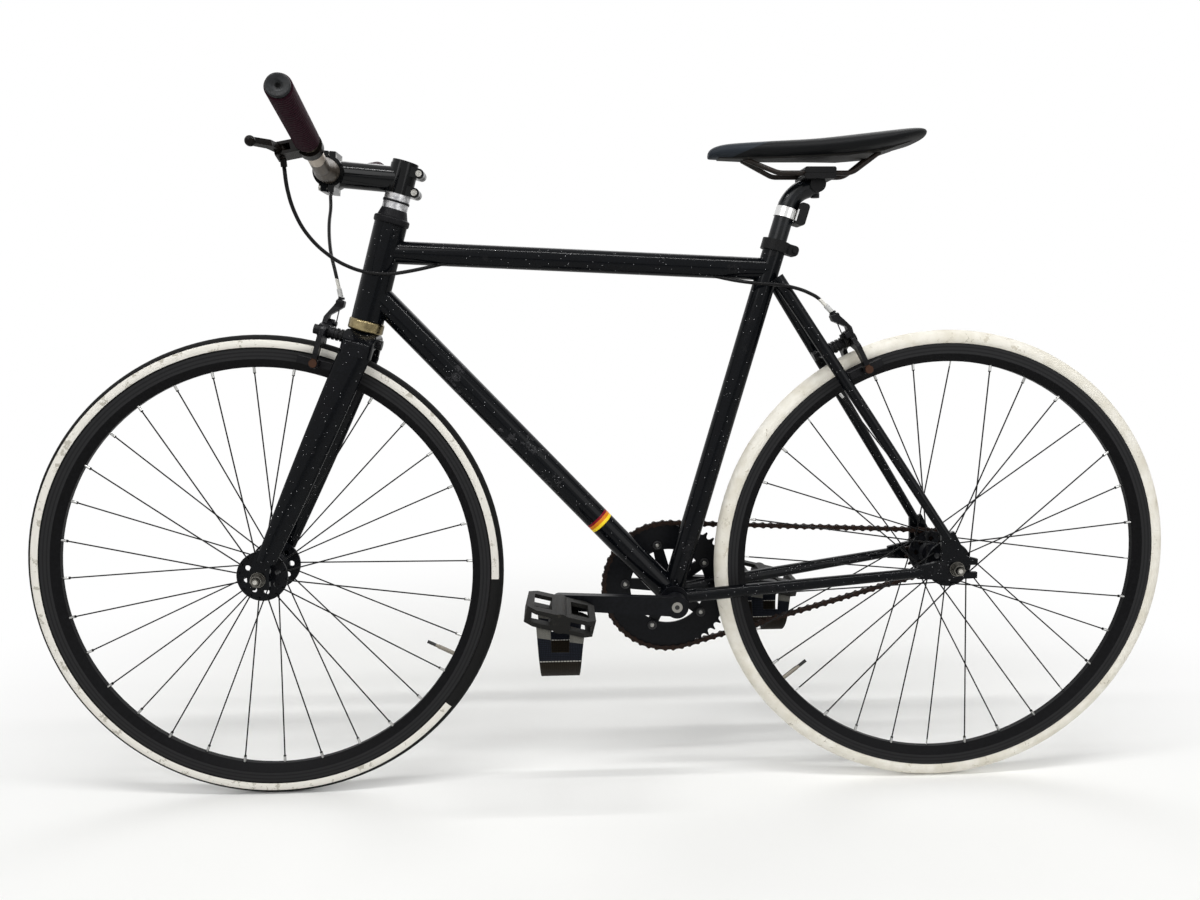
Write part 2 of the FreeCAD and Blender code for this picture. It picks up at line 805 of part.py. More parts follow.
for bolt_side in (-stem_bolt_side, stem_bolt_side):
    for bolt_height in (-stem_bolt_height, stem_bolt_height):
        tip = vec(-bolt_front, bolt_side, bolt_height)
        head = vec(bolt_front, bolt_side, bolt_height)
        bolt = rod(tip, head, stem_bolt_radius)
        bolt = bolt.fuse(rod(head, head + vec(stem_bolt_head * 0.8, 0, 0), stem_bolt_head))
        face_bolts.append(bolt)
bar_bore = Part.makeCylinder(bar_bulge_radius, bar_clamp_width, vec(0, -half_clamp, 0), left)
for tool in [bar_bore] + face_bolts:
    bar_clamp = bar_clamp.cut(tool)
tool_size = stem_length
front_half = Part.makeBox(tool_size, tool_size, tool_size,
                          vec(bar_clamp_split / 2, -tool_size / 2, -tool_size / 2))
behind_face = Part.makeBox(tool_size, tool_size, tool_size,
                           vec(-bar_clamp_split / 2, -tool_size / 2, -tool_size / 2))
faceplate = placed(bar_clamp.common(front_half), stem_frame)

stem_bolt_back = -stem_clamp_radius - stem_bolt_head
stem_lug_side = stem_clamp_radius * 0.8
stem_lug_frame = frame_at(on_head(stem_low), head_forward, left)
stem_split = placed(Part.makeBox(-stem_bolt_back * 2, collar_slot, stem_clamp_height,
                                 vec(stem_bolt_back * 2, -collar_slot / 2, 0)), stem_lug_frame)
clamp_bolts = []
stem_lugs = []
for bolt_up in (stem_low + stem_bolt_inset, stem_high - stem_bolt_inset):
    inner_end = on_head(bolt_up, stem_bolt_back, -stem_lug_side)
    outer_end = on_head(bolt_up, stem_bolt_back, stem_lug_side)
    bolt = rod(inner_end, outer_end, stem_bolt_radius)
    clamp_bolts.append(bolt.fuse(rod(outer_end, outer_end + left * stem_bolt_head * 0.7, stem_bolt_head)))
    stem_lugs.append(rod(inner_end, outer_end, stem_lug_radius))
    web_frame = frame_at(on_head(bolt_up - stem_lug_radius), head_forward, left)
    stem_lugs.append(placed(Part.makeBox(-stem_bolt_back, stem_lug_side * 2, stem_lug_radius * 2,
                                         vec(stem_bolt_back, -stem_lug_side, 0)), web_frame))
stem_arm = rod(stem_root, bar_centre, stem_arm_radius)
for low, high in ((stem_low - stem_arm_radius, stem_low), (stem_high, stem_high + stem_arm_radius)):
    stem_arm = stem_arm.cut(rod(on_head(low), on_head(high), stem_clamp_radius))
bar_space = rod(bar_centre - left * half_clamp, bar_centre + left * half_clamp, bar_bulge_radius)
stem = rod(on_head(stem_low), on_head(stem_high), stem_clamp_radius).fuse(stem_lugs)
stem = stem.fuse(stem_arm).cut(placed(behind_face, stem_frame)).cut(bar_space)
stem = stem.fuse(placed(bar_clamp.cut(behind_face), stem_frame))
for bolt in face_bolts:
    stem = stem.cut(placed(bolt, stem_frame))
stem = stem.cut(rod(on_head(stem_low), on_head(stem_high), steerer_radius)).cut(stem_split)
for bolt in clamp_bolts:
    stem = stem.cut(bolt)
stem_cap = rod(on_head(stem_high), on_head(stem_high + stem_cap_height), stem_clamp_radius - 1)
cap_bolt_top = on_head(stem_high + stem_cap_height)
cap_bolt = rod(cap_bolt_top - head_up * stem_cap_height / 2, cap_bolt_top, stem_bolt_head)
stem_cap = stem_cap.cut(cap_bolt)
save("stem", stem, faceplate, stem_cap)
save("stem_bolts", *[placed(bolt, stem_frame) for bolt in face_bolts], *clamp_bolts, cap_bolt)

# Handlebar: a tube with a thick middle, bent up and back at both sides
bar_rise = math.radians(bar_rise_angle)
bar_sweep = math.radians(bar_sweep_angle)
grip_out = vec(-math.cos(bar_rise) * math.sin(bar_sweep), math.cos(bar_rise) * math.cos(bar_sweep),
               math.sin(bar_rise))
bar_bend = bar_centre + left * bar_bend_side


def on_bar(run):
    """Point on the left end of the bar, measured out from its bend."""
    return bar_bend + grip_out * run


def across(point):
    """The same point on the right."""
    return vec(point.x, -point.y, point.z)


bar_route = [across(on_bar(bar_end_run)), across(bar_bend), bar_bend, on_bar(bar_end_run)]
bulge_end = left * bar_bulge_half
taper_end = left * bar_taper_end
handlebar = bent_rod(bar_route, bar_radius, bar_bend_radius)
handlebar = handlebar.fuse(rod(bar_centre - bulge_end, bar_centre + bulge_end, bar_bulge_radius))
for end in (1, -1):
    handlebar = handlebar.fuse(cone(bar_centre + bulge_end * end, bar_centre + taper_end * end,
                                    bar_bulge_radius, bar_radius - bar_wall / 4))
handlebar = handlebar.cut(bent_rod(bar_route, bar_radius - bar_wall, bar_bend_radius))
save("handlebar", handlebar)

# Grips with their end plugs
grip_start = on_bar(bar_end_run - grip_length)
grip_stop = on_bar(bar_end_run)
grip = cone(grip_start, grip_stop, grip_radius, grip_end_radius)
grip = grip.cut(rod(grip_start, grip_stop, bar_radius + soft_gap))
plug = rod(grip_stop, grip_stop + grip_out * plug_height, plug_radius)
plug = plug.fuse(rod(grip_stop - grip_out * plug_height * 2, grip_stop, bar_radius - bar_wall))
save("grips", grip, mirrored(grip), plug, mirrored(plug))

# Brake lever brackets: X out along the bar, Y ahead to the lever, drawn for the left
droop = polar(-bracket_droop)
bracket_ahead = (droop - grip_out * droop.dot(grip_out)).normalize()
bracket_frame = frame_at(on_bar(bracket_run), grip_out, bracket_ahead)
half_ring = bracket_ring_width / 2
half_bracket = bracket_thickness / 2
slot_side = lever_thickness / 2 + face_gap
lever_pivot = vec(lever_offset, lever_reach, 0)
body_inner = bar_radius + 1
body_outer = lever_reach + lever_boss_radius + 1
body_length = lever_offset + lever_boss_radius + 1 + half_ring + 4
barrel_foot = vec(-half_ring, lever_reach + 2, half_bracket - 2)
barrel_lean = vec(-0.36, 0.16, 0.92).normalize()
barrel_tip = barrel_foot + barrel_lean * lever_barrel_length
lever_bracket = Part.makeCylinder(bracket_ring_radius, bracket_ring_width, vec(-half_ring, 0, 0), vec(1, 0, 0))
lever_bracket = lever_bracket.fuse(Part.makeBox(
    body_length, body_outer - body_inner, bracket_thickness,
    vec(-half_ring - 4, body_inner, -half_bracket)))
lever_bracket = lever_bracket.cut(Part.makeBox(
    body_length, body_outer, slot_side * 2,
    vec(lever_offset - lever_boss_radius - 1, lever_reach - lever_boss_radius - 5, -slot_side)))
lever_bracket = lever_bracket.cut(Part.makeCylinder(
    bar_radius, bracket_ring_width * 2, vec(-bracket_ring_width, 0, 0), vec(1, 0, 0)))
lever_bracket = lever_bracket.fuse(rod(barrel_foot, barrel_tip, lever_barrel_radius))
lever_pin = rod(lever_pivot - vec(0, 0, half_bracket + 1), lever_pivot + vec(0, 0, half_bracket + 1),
                lever_pin_radius)
lever_bracket = lever_bracket.cut(lever_pin)
left_bracket = placed(lever_bracket, bracket_frame)
left_pin = placed(lever_pin, bracket_frame)
save("lever_brackets", left_bracket, mirrored(left_bracket), left_pin, mirrored(left_pin))

# Brake levers: a flat blade that ends in a ball
ball = lever_pivot + vec(lever_ball_out, lever_ball_ahead, 0)
blade_line = (ball - lever_pivot).normalize()
blade_side = vec(-blade_line.y, blade_line.x, 0)
bow = (lever_pivot + ball) / 2 - blade_side * lever_blade * 0.5
half_blade = lever_blade / 2
lever_outline = [
    lever_pivot + blade_side * half_blade,
    bow + blade_side * half_blade,
    ball + blade_side * half_blade * 0.8,
    ball - blade_side * half_blade * 0.8,
    bow - blade_side * half_blade,
    lever_pivot - blade_side * half_blade,
]
half_lever = vec(0, 0, lever_thickness / 2)
lever_blade_solid = outline_face([point - half_lever for point in lever_outline]).extrude(half_lever * 2)
lever = lever_blade_solid.fuse(rod(lever_pivot - half_lever, lever_pivot + half_lever, lever_boss_radius))
lever = lever.fuse(Part.makeSphere(lever_ball_radius, ball))
lever = lever.cut(rod(lever_pivot - half_lever * 2, lever_pivot + half_lever * 2, lever_pin_radius + running))
left_lever = placed(lever, bracket_frame)
save("left_brake_lever", left_lever)
save("right_brake_lever", mirrored(left_lever))

# Brake calipers, drawn with the centre bolt along X and the wheel below
pad_drop = caliper_radius - (rim_radius - rim_track / 2 - 1.5)
pad_inner = rim_width / 2 + pad_gap
long_start = face_gap / 2
short_start = -face_gap / 2 - caliper_arm_thickness
arm_outer = caliper_arm_side + caliper_arm_width
arm_foot = -pad_drop - pad_boss_radius
barrel_line = vec(-barrel_setback, -barrel_side, barrel_base)


def arm_plate(outline, start, thickness):
    """Outline of (side, up) pairs drawn out along the bolt, with its corners rounded."""
    plate = outline_face([vec(start, side, up) for side, up in outline]).extrude(vec(thickness, 0, 0))
    return rounded(plate, vec(1, 0, 0), caliper_arm_round)


def pad_set(side, middle):
    """Pad with its holder and bolt, and the boss on the arm that the bolt goes through."""
    axis = vec(0, side, 0)
    seat = vec(middle, 0, -pad_drop)
    inner_face = seat + axis * caliper_arm_side
    outer_face = seat + axis * arm_outer
    boss = rod(inner_face, outer_face, pad_boss_radius)
    holder = rod(seat + axis * (pad_inner + pad_thickness), outer_face, pad_bolt_radius)
    holder = holder.fuse(rod(outer_face, outer_face + axis * 3, pad_bolt_head))
    back = min(side * (pad_inner + pad_thickness), side * caliper_arm_side)
    holder = holder.fuse(Part.makeBox(pad_length, caliper_arm_side - pad_inner - pad_thickness, pad_height,
                                      seat + vec(-pad_length / 2, back, -pad_height / 2)))
    face = min(side * pad_inner, side * (pad_inner + pad_thickness))
    pad = Part.makeBox(pad_length, pad_thickness, pad_height,
                       seat + vec(-pad_length / 2, face, -pad_height / 2))
    return boss, holder, pad


def finish_arm(arm, side, start):
    """Add the pivot and pad bosses to an arm, drill it and give it its pad."""
    pivot = vec(start, 0, 0)
    pivot_end = pivot + vec(caliper_arm_thickness, 0, 0)
    boss, holder, pad = pad_set(side, start + caliper_arm_thickness / 2)
    arm = arm.fuse(rod(pivot, pivot_end, caliper_boss_radius)).fuse(boss)
    arm = arm.cut(rod(pivot, pivot_end, caliper_bolt_radius + running)).cut(holder)
    return arm, holder, pad


lower_arm = [(22, 4), (34, -8), (arm_outer + 2, -30), (arm_outer, arm_foot), (caliper_arm_side, arm_foot),
             (caliper_arm_side - 1, -32), (18, -14), (4, -caliper_boss_radius)]


def long_arm(tilt):
    """Arm with its pad on the right, carrying the barrel adjuster above it."""
    outline = [(-side, up) for side, up in lower_arm]
    boss_top = barrel_base + barrel_boss_height
    upper = [(caliper_boss_radius / 2, caliper_boss_radius), (-10, 11), (-barrel_side + 6, barrel_base - 2),
             (-barrel_side + 6, boss_top), (-barrel_side - 6, boss_top), (-barrel_side - 6, barrel_base - 4)]
    front = long_start + caliper_arm_thickness
    boss_back = -barrel_setback - 6
    boss_front = -barrel_setback + 6
    lean_start = barrel_base + boss_back - long_start
    side_view = [(long_start, arm_foot - 5), (front, arm_foot - 5), (front, lean_start - 3),
                 (boss_front, barrel_base + 3), (boss_front, boss_top), (boss_back, boss_top),
                 (boss_back, barrel_base), (long_start, lean_start)]
    leaning = outline_face([vec(reach, arm_outer * 2, up) for reach, up in side_view])
    leaning = rounded(leaning.extrude(vec(0, -arm_outer * 4, 0)), left, caliper_arm_round)
    arm = arm_plate(upper + outline, boss_back, front - boss_back).common(leaning)
    arm = arm.cut(rod(barrel_line - vec(0, 0, barrel_base / 2), barrel_line + vec(0, 0, barrel_boss_height + 1),
                      wire_radius + hole_gap * 3))
    arm, holder, pad = finish_arm(arm, -1, long_start)
    foot = barrel_line + vec(0, 0, barrel_boss_height)
    lean = vec(-math.sin(math.radians(tilt)), 0, math.cos(math.radians(tilt)))
    barrel = rod(foot, foot + lean * barrel_length, barrel_radius)
    barrel = barrel.fuse(rod(foot, foot + lean * 3, barrel_radius + 1.5))
    barrel = barrel.cut(Part.makeBox(barrel_length * 2, barrel_length * 2, barrel_length,
                                     foot + vec(-barrel_length, -barrel_length, -barrel_length)))
    barrel = barrel.cut(rod(foot, foot + lean * barrel_length / 2, wire_radius + hole_gap * 3))
    return arm, barrel, holder, pad, foot + lean * barrel_length, lean


def short_arm():
    """Arm with its pad on the left, crossing over to the cable anchor."""
    outline = [(-caliper_boss_radius / 2, caliper_boss_radius), (-anchor_side - 2, anchor_height + 6),
               (-anchor_side - 11, anchor_height + 4), (-anchor_side - 11, anchor_height - 5),
               (-anchor_side, anchor_height - 6), (-6, -7)]
    arm = arm_plate(outline + lower_arm[::-1], short_start, caliper_arm_thickness)
    seat = vec(short_start, -anchor_side, anchor_height)
    anchor = rod(seat - vec(5, 0, 0), seat + vec(caliper_arm_thickness, 0, 0), anchor_radius)
    arm, holder, pad = finish_arm(arm, 1, short_start)
    return arm.cut(anchor), anchor, holder, pad


def centre_bolt(nut_end, mount_face):
    """Centre bolt with its nut, ribbed spacer and front nut."""
    spacer_end = short_start - face_gap
    front_start = long_start + caliper_arm_thickness + face_gap
    bolt = rod(vec(nut_end - caliper_nut_height, 0, 0), vec(front_start, 0, 0), caliper_bolt_radius)
    bolt = bolt.fuse(rod(vec(nut_end - caliper_nut_height, 0, 0), vec(nut_end, 0, 0), caliper_nut_radius))
    bolt = bolt.fuse(rod(vec(front_start, 0, 0), vec(front_start + caliper_nut_height, 0, 0),
                         caliper_nut_radius))
    bolt = bolt.fuse(rod(vec(mount_face, 0, 0), vec(spacer_end, 0, 0),
                         caliper_mount_radius - caliper_rib_depth))
    rib = (spacer_end - mount_face) / (2 * caliper_ribs - 1)
    for number in range(caliper_ribs):
        start = mount_face + 2 * rib * number
        bolt = bolt.fuse(rod(vec(start, 0, 0), vec(start + rib, 0, 0), caliper_mount_radius))
    return bolt


def brake_wire():
    """Inner wire from inside the barrel's boss past its anchor to a short free tail."""
    return rod(barrel_line + vec(0, 0, barrel_boss_height - 1),
               vec(barrel_line.x, barrel_line.y, anchor_height - 12), wire_radius)


short_pieces = short_arm()
front_long = long_arm(front_barrel_tilt)
rear_long = long_arm(rear_barrel_tilt)
save("front_right_brake_arm", *[placed(piece, front_caliper) for piece in front_long[:4]])
save("front_left_brake_arm", *[placed(piece, front_caliper) for piece in short_pieces])
save("rear_left_brake_arm", *[placed(piece, rear_caliper) for piece in rear_long[:4]])
save("rear_right_brake_arm", *[placed(piece, rear_caliper) for piece in short_pieces])
front_bolt = centre_bolt(crown_back_reach, crown_front_reach)
rear_bolt = centre_bolt(bridge_reach - bridge_radius, bridge_reach + bridge_radius)
save("front_brake_bolt", placed(front_bolt, front_caliper).cut(crown))
save("rear_brake_bolt", placed(rear_bolt, rear_caliper))

# Brake cables along their routes, from the lever barrels to the caliper barrels
# The rear one enters the top tube from below behind the head tube and leaves it ahead of the seat tube
lever_cable_end = bracket_frame.multVec(barrel_tip)
lever_cable_down = bracket_frame.multVec(barrel_tip + barrel_lean * 22)
top_tube_start = on_head(top_tube_on_head)
top_tube_end = on_seat(top_tube_on_seat)
top_tube_span = top_tube_start.distanceToPoint(top_tube_end)
top_tube_back = (top_tube_end - top_tube_start).normalize()
top_tube_down = top_tube_back.cross(left)


def from_head(run, down, side=0.0):
    """Point measured along and below the top tube from its front end."""
    return top_tube_start + top_tube_back * run + top_tube_down * down + left * side


def from_seat(run, down, side=0.0):
    """Point measured along and below the top tube from its rear end."""
    return from_head(top_tube_span - run, down, side)


entry_corner = from_head(43.7, 24.5, 19)
entry_inside = from_head(104.9, 6.5, 1)
entry_joint = (entry_corner + entry_inside) / 2
rear_lead_route = [
    lever_cable_end,
    lever_cable_down,
    on_head(top_tube_on_head + 23.3, 107.8, 104),
    on_head(top_tube_on_head + 0.7, 92.1, 95),
    on_head(top_tube_on_head - 16.5, 71.7, 84),
    on_head(top_tube_on_head - 29.8, 45.2, 68),
    on_head(top_tube_on_head - 34.8, 14.7, 50),
    on_head(top_tube_on_head - 28.6, -18.9, 33),
    entry_corner,
    entry_joint,
]
rear_barrel_end = rear_caliper.multVec(rear_long[4])
rear_barrel_lean = rear_caliper.multVec(rear_long[4] + rear_long[5] * barrel_length)
front_barrel_end = front_caliper.multVec(front_long[4])
front_barrel_lean = front_caliper.multVec(front_long[4] + front_long[5] * barrel_length * 1.5)
rear_cable_route = [
    entry_joint,
    entry_inside,
    from_head(160.7, -0.2),
    from_seat(142.6, 1.5),
    from_seat(102.3, 7.5, 1),
    from_seat(71.9, 14.1, 6),
    from_seat(46.7, 18.9, 17),
    from_seat(18.5, 21.5, 27),
    on_seat(top_tube_on_seat - 18.2, -18.3, 32),
    on_seat(top_tube_on_seat - 16.6, -49.1, 29),
    rear_barrel_lean,
    rear_barrel_end,
]
front_cable_route = [
    across(lever_cable_end),
    across(lever_cable_down),
    on_head(head_tube_length - 16.1, 104.3, -94),
    on_head(head_tube_length - 38.9, 92.8, -68),
    on_head(head_tube_length - 61.0, 79.3, -43),
    front_barrel_lean,
    front_barrel_end,
]
for route in (rear_lead_route, rear_cable_route):
    top_tube = top_tube.cut(bent_rod(route, cable_radius + hole_gap))
save("top_tube", top_tube)
rear_lead = cable("rear brake lead", rear_lead_route, cable_radius)
rear_cable = cable("rear brake cable", rear_cable_route, cable_radius)
front_cable = cable("front brake cable", front_cable_route, cable_radius)
save("rear_brake_lead", rear_lead)
save("rear_brake_cable", rear_cable, placed(brake_wire(), rear_caliper))
save("front_brake_cable", front_cable, placed(brake_wire(), front_caliper))

# Rim and tyre sections, turned about the wheel axis
rim_inner = rim_radius - rim_depth
rim_half = rim_width / 2
rim_track_inner = rim_radius - rim_track
rim_bed = rim_radius - rim_bed_depth
channel_half = rim_half - rim_lip
rim_profile = both_sides([(rim_inner, rim_nose_width / 2), (rim_track_inner, rim_half),
                          (rim_radius, rim_half), (rim_radius, channel_half), (rim_bed, channel_half)])
rim_hollow = both_sides([(rim_inner + rim_wall, rim_nose_width / 2 - rim_wall / 2),
                         (rim_track_inner + rim_wall / 2, rim_half - rim_wall),
                         (rim_bed - rim_wall, rim_half - rim_wall)])
section_radius = tyre_width / 2
section_centre = tyre_radius - section_radius
tyre_foot = rim_radius + soft_gap
bead_outer = channel_half - soft_gap
bead_inner = bead_outer - bead_width
bead_outline = [(rim_bed + soft_gap, bead_inner), (rim_bed + soft_gap, bead_outer), (tyre_foot, bead_outer),
                (tyre_foot + 2.2, bead_outer + 1.6), (tyre_foot + 2.2, bead_outer + 0.2),
                (tyre_foot - 1, bead_outer - 1.8), (tyre_foot - 3, bead_inner)]


def section_disc(centre, radius, section):
    """Round face in the plane of the wheel section."""
    middle = centre + vec(radius, 0, 0)
    return Part.Face(Part.Wire(Part.makeCircle(section, middle, vec(0, 0, 1))))


def tyre_solid(centre):
    """Tyre casing with its two beads inside the rim."""
    casing = section_disc(centre, section_centre, section_radius)
    casing = casing.cut(section_disc(centre, section_centre, section_radius - tyre_wall))
    below = outline_face([centre + vec(radius, side, 0) for radius, side in
                          both_sides([(rim_inner, tyre_width), (tyre_foot, tyre_width)])])
    casing = casing.cut(below)
    for side in (1, -1):
        bead = outline_face([centre + vec(radius, offset * side, 0) for radius, offset in bead_outline])
        casing = casing.fuse(bead)
    return casing.removeSplitter().Faces[0].revolve(centre, left, 360)


def wheel_point(centre, angle, radius, side):
    """Point of a wheel at an angle from forward towards up."""
    return centre + polar(angle, radius) + left * side


def inner_tube(centre, valve_angle):
    """Inner tube with its valve through the rim."""
    tube_centre = section_centre + section_radius - tyre_wall - tube_radius - soft_gap
    outer = section_disc(centre, tube_centre, tube_radius).revolve(centre, left, 360)
    inner = section_disc(centre, tube_centre, tube_radius - tube_wall_thickness).revolve(centre, left, 360)
    root = wheel_point(centre, valve_angle, tube_centre - tube_radius + tube_wall_thickness / 2, 0)
    tip = wheel_point(centre, valve_angle, rim_inner - valve_length, 0)
    neck = wheel_point(centre, valve_angle, rim_inner - valve_length * 0.6, 0)
    valve = rod(root, neck, valve_radius).fuse(rod(neck, tip, valve_radius * 0.8))
    return outer.fuse(valve).cut(inner)


def spoke(centre, hub_angle, rim_angle, circle, side, face):
    """Spoke with elbow, head and nipple; face is 1 outside the flange and -1 inside."""
    seen = polar(rim_angle, rim_inner) - polar(hub_angle, circle)
    outward = circle * seen.dot(polar(hub_angle)) / seen.Length
    edge = circle + spoke_circle_inset
    run = math.sqrt(outward ** 2 + edge ** 2 - circle ** 2) - outward
    lift = (run + spoke_radius) * flange_side / seen.Length
    lie = flange_thickness / 2 + spoke_radius + lift + running
    elbow = wheel_point(centre, hub_angle, circle, side * (flange_side + face * lie))
    seat = wheel_point(centre, hub_angle, circle, side * (flange_side - face * flange_thickness / 2))
    head = seat - left * (side * face * spoke_head_height)
    rim_point = wheel_point(centre, rim_angle, rim_inner + rim_wall, side * spoke_rim_side)
    out = (rim_point - elbow).normalize()
    nipple_tip = rim_point - out * (nipple_length + rim_wall)
    shape = rod(elbow, rim_point, spoke_radius).fuse(rod(elbow, seat, spoke_radius))
    shape = shape.fuse(Part.makeSphere(spoke_radius, elbow))
    shape = shape.fuse(rod(seat, head, spoke_head_radius))
    shape = shape.fuse(rod(nipple_tip, rim_point, nipple_radius))
    shape = shape.fuse(rod(rim_point, rim_point + out * nipple_head_height, nipple_head_radius))
    hole = rod(nipple_tip, rim_point + out * nipple_head_height, nipple_radius + hole_gap)
    pocket = rod(rim_point, rim_point + out * nipple_head_height, nipple_head_radius + hole_gap)
    return shape, hole.fuse(pocket)


def turned(shapes, centre, angles):
    """Copies of drawn shapes, turned about the wheel axis."""
    copies = []
    for angle in angles:
        for shape in shapes:
            copy = shape.copy()
            copy.rotate(centre, left, -angle)
            copies.append(copy)
    return copies


def save_wheel(name, centre, valve_angle, circle, patterns):
    """Write the tyre, inner tube, rim and spokes of one wheel."""
    spokes = []
    holes = []
    spacing = 720.0 / spoke_count
    for side, face, offset, lead, every in patterns:
        shape, hole = spoke(centre, offset + lead, offset, circle, side, face)
        angles = [spacing * every * number for number in range(spoke_count // (2 * every))]
        spokes += turned([shape], centre, angles)
        holes += turned([hole], centre, angles)
    valve_hole = rod(wheel_point(centre, valve_angle, rim_radius, 0),
                     wheel_point(centre, valve_angle, rim_inner - valve_length, 0), valve_radius + hole_gap)
    rim = lathe(rim_profile, centre).cut(lathe(rim_hollow, centre))
    rim = rim.cut(Part.makeCompound(holes)).cut(valve_hole)
    save(name + "_tyre", tyre_solid(centre))
    save(name + "_inner_tube", inner_tube(centre, valve_angle))
    save(name + "_rim", rim)
    save(name + "_spokes", *spokes)


# The valve sits midway between two nipples; the front spokes are radial, the rear ones cross
spoke_step = 360.0 / spoke_count
front_phase = front_valve_angle + spoke_step / 2
rear_phase = rear_valve_angle + spoke_step / 2
front_circle = front_flange_radius - spoke_circle_inset
rear_circle = rear_flange_radius - spoke_circle_inset
save_wheel("front", front_axle, front_valve_angle, front_circle,
           [(1, 1, front_phase, 0, 1), (-1, 1, front_phase + spoke_step, 0, 1)])
save_wheel("rear", rear_axle, rear_valve_angle, rear_circle,
           [(1, 1, rear_phase, spoke_cross_angle, 2),
            (1, -1, rear_phase + 2 * spoke_step, -spoke_cross_angle, 2),
            (-1, 1, rear_phase + spoke_step, spoke_cross_angle, 2),
            (-1, -1, rear_phase + 3 * spoke_step, -spoke_cross_angle, 2)])


# Hubs: a turned shell with two flanges and a bearing in each end
def hub_shell(centre, flange_radius, ends, phases, drive_end):
    """Hub shell bored for its bearings, with spoke holes and round windows in the flanges."""
    circle = flange_radius - spoke_circle_inset
    half = flange_thickness / 2
    end_radius = hub_bearing_radius + hub_wall
    profile = [(0, -drive_end), (end_radius if drive_end == ends else thread_radius, -drive_end),
               (end_radius if drive_end == ends else thread_radius, -flange_side - half),
               (flange_radius, -flange_side - half), (flange_radius, -flange_side + half),
               (hub_barrel_radius + hub_flare, -flange_side + half),
               (hub_barrel_radius, -flange_side + half + hub_flare),
               (hub_barrel_radius, flange_side - half - hub_flare),
               (hub_barrel_radius + hub_flare, flange_side - half),
               (flange_radius, flange_side - half), (flange_radius, flange_side + half),
               (end_radius, flange_side + half), (end_radius, ends), (0, ends)]
    shell = lathe(profile, centre)
    shell = shell.cut(rod(centre - left * drive_end, centre + left * ends, cone_radius + 1))
    for start, stop in ((-drive_end, -drive_end + hub_bearing_width), (ends - hub_bearing_width, ends)):
        shell = shell.cut(rod(centre + left * start, centre + left * stop, hub_bearing_radius))
    window_circle = (hub_barrel_radius + circle) / 2
    tools = []
    for side, phase in zip((1, -1), phases):
        inner = side * (flange_side - half - 5)
        outer = side * (flange_side + half + 1)
        hole = rod(wheel_point(centre, phase, circle, inner), wheel_point(centre, phase, circle, outer),
                   spoke_radius + hole_gap)
        tools += turned([hole], centre, [2 * spoke_step * number for number in range(spoke_count // 2)])
        window = rod(wheel_point(centre, phase, window_circle, inner),
                     wheel_point(centre, phase, window_circle, outer), hub_window_radius)
        tools += turned([window], centre, [360.0 / hub_window_count * number for number in range(hub_window_count)])
    return shell.cut(Part.makeCompound(tools))


def hub_bearing(centre, start, stop, axle_radius):
    """Bearing that runs on the axle."""
    return rod(centre + left * start, centre + left * stop, hub_bearing_radius).cut(
        rod(centre + left * start, centre + left * stop, axle_radius + running))


def hub_bearings(centre, drive_end, ends, axle_radius):
    """The two bearings of a hub."""
    return [hub_bearing(centre, -drive_end, -drive_end + hub_bearing_width, axle_radius),
            hub_bearing(centre, ends - hub_bearing_width, ends, axle_radius)]


def nut(centre, start, side):
    """Hexagonal axle nut standing out from one side."""
    corners = [centre + left * start * side + polar(60 * number, nut_radius) for number in range(6)]
    return outline_face(corners).extrude(left * nut_height * side)


def axle_set(centre, radius, spacing, thickness, drive_end, ends):
    """Axle with its cones, washers and nuts."""
    face = spacing / 2
    outside = face + thickness
    tip = outside + washer_height + nut_height + axle_tail
    axle = rod(centre - left * tip, centre + left * tip, radius)
    for side, end in ((1, ends), (-1, drive_end)):
        axle = axle.fuse(rod(centre + left * side * (end + face_gap), centre + left * side * face, cone_radius))
        axle = axle.fuse(rod(centre + left * side * outside,
                             centre + left * side * (outside + washer_height), washer_radius))
        axle = axle.fuse(nut(centre, outside + washer_height, side))
    return axle


front_hub_end = flange_side + 9
rear_hub_end = flange_side + 12
cog_outer = chain_line + sprocket_thickness / 2
drive_end = cog_outer + lockring_height + 1
front_phases = (front_phase, front_phase + spoke_step)
rear_phases = (rear_phase + spoke_cross_angle, rear_phase + spoke_step + spoke_cross_angle)
save("front_hub", hub_shell(front_axle, front_flange_radius, front_hub_end, front_phases, front_hub_end),
     *hub_bearings(front_axle, front_hub_end, front_hub_end, front_axle_radius))
save("rear_hub", hub_shell(rear_axle, rear_flange_radius, rear_hub_end, rear_phases, drive_end),
     *hub_bearings(rear_axle, drive_end, rear_hub_end, rear_axle_radius))
save("front_axle", axle_set(front_axle, front_axle_radius, front_spacing, fork_end_thickness,
                            front_hub_end, front_hub_end))
save("rear_axle", axle_set(rear_axle, rear_axle_radius, rear_spacing, dropout_thickness,
                           drive_end, rear_hub_end))

# Chain geometry: the tight loop round both sprockets, counted in links from the ring's upper tangent
line_angle = math.degrees(math.atan2(rear_axle.z - bracket.z, rear_axle.x - bracket.x))
spread_angle = math.degrees(math.acos((ring_radius - cog_radius) / chain_centres))
upper_angle = line_angle - spread_angle
lower_angle = line_angle + spread_angle
ring_step = 360.0 / ring_teeth
cog_step = 360.0 / cog_teeth
chain_offset = vec(0, -chain_line, 0)
links_on_ring = (360 - 2 * spread_angle) / ring_step
links_on_cog = 2 * spread_angle / cog_step
links_on_run = (chain_links - links_on_ring - links_on_cog) / 2


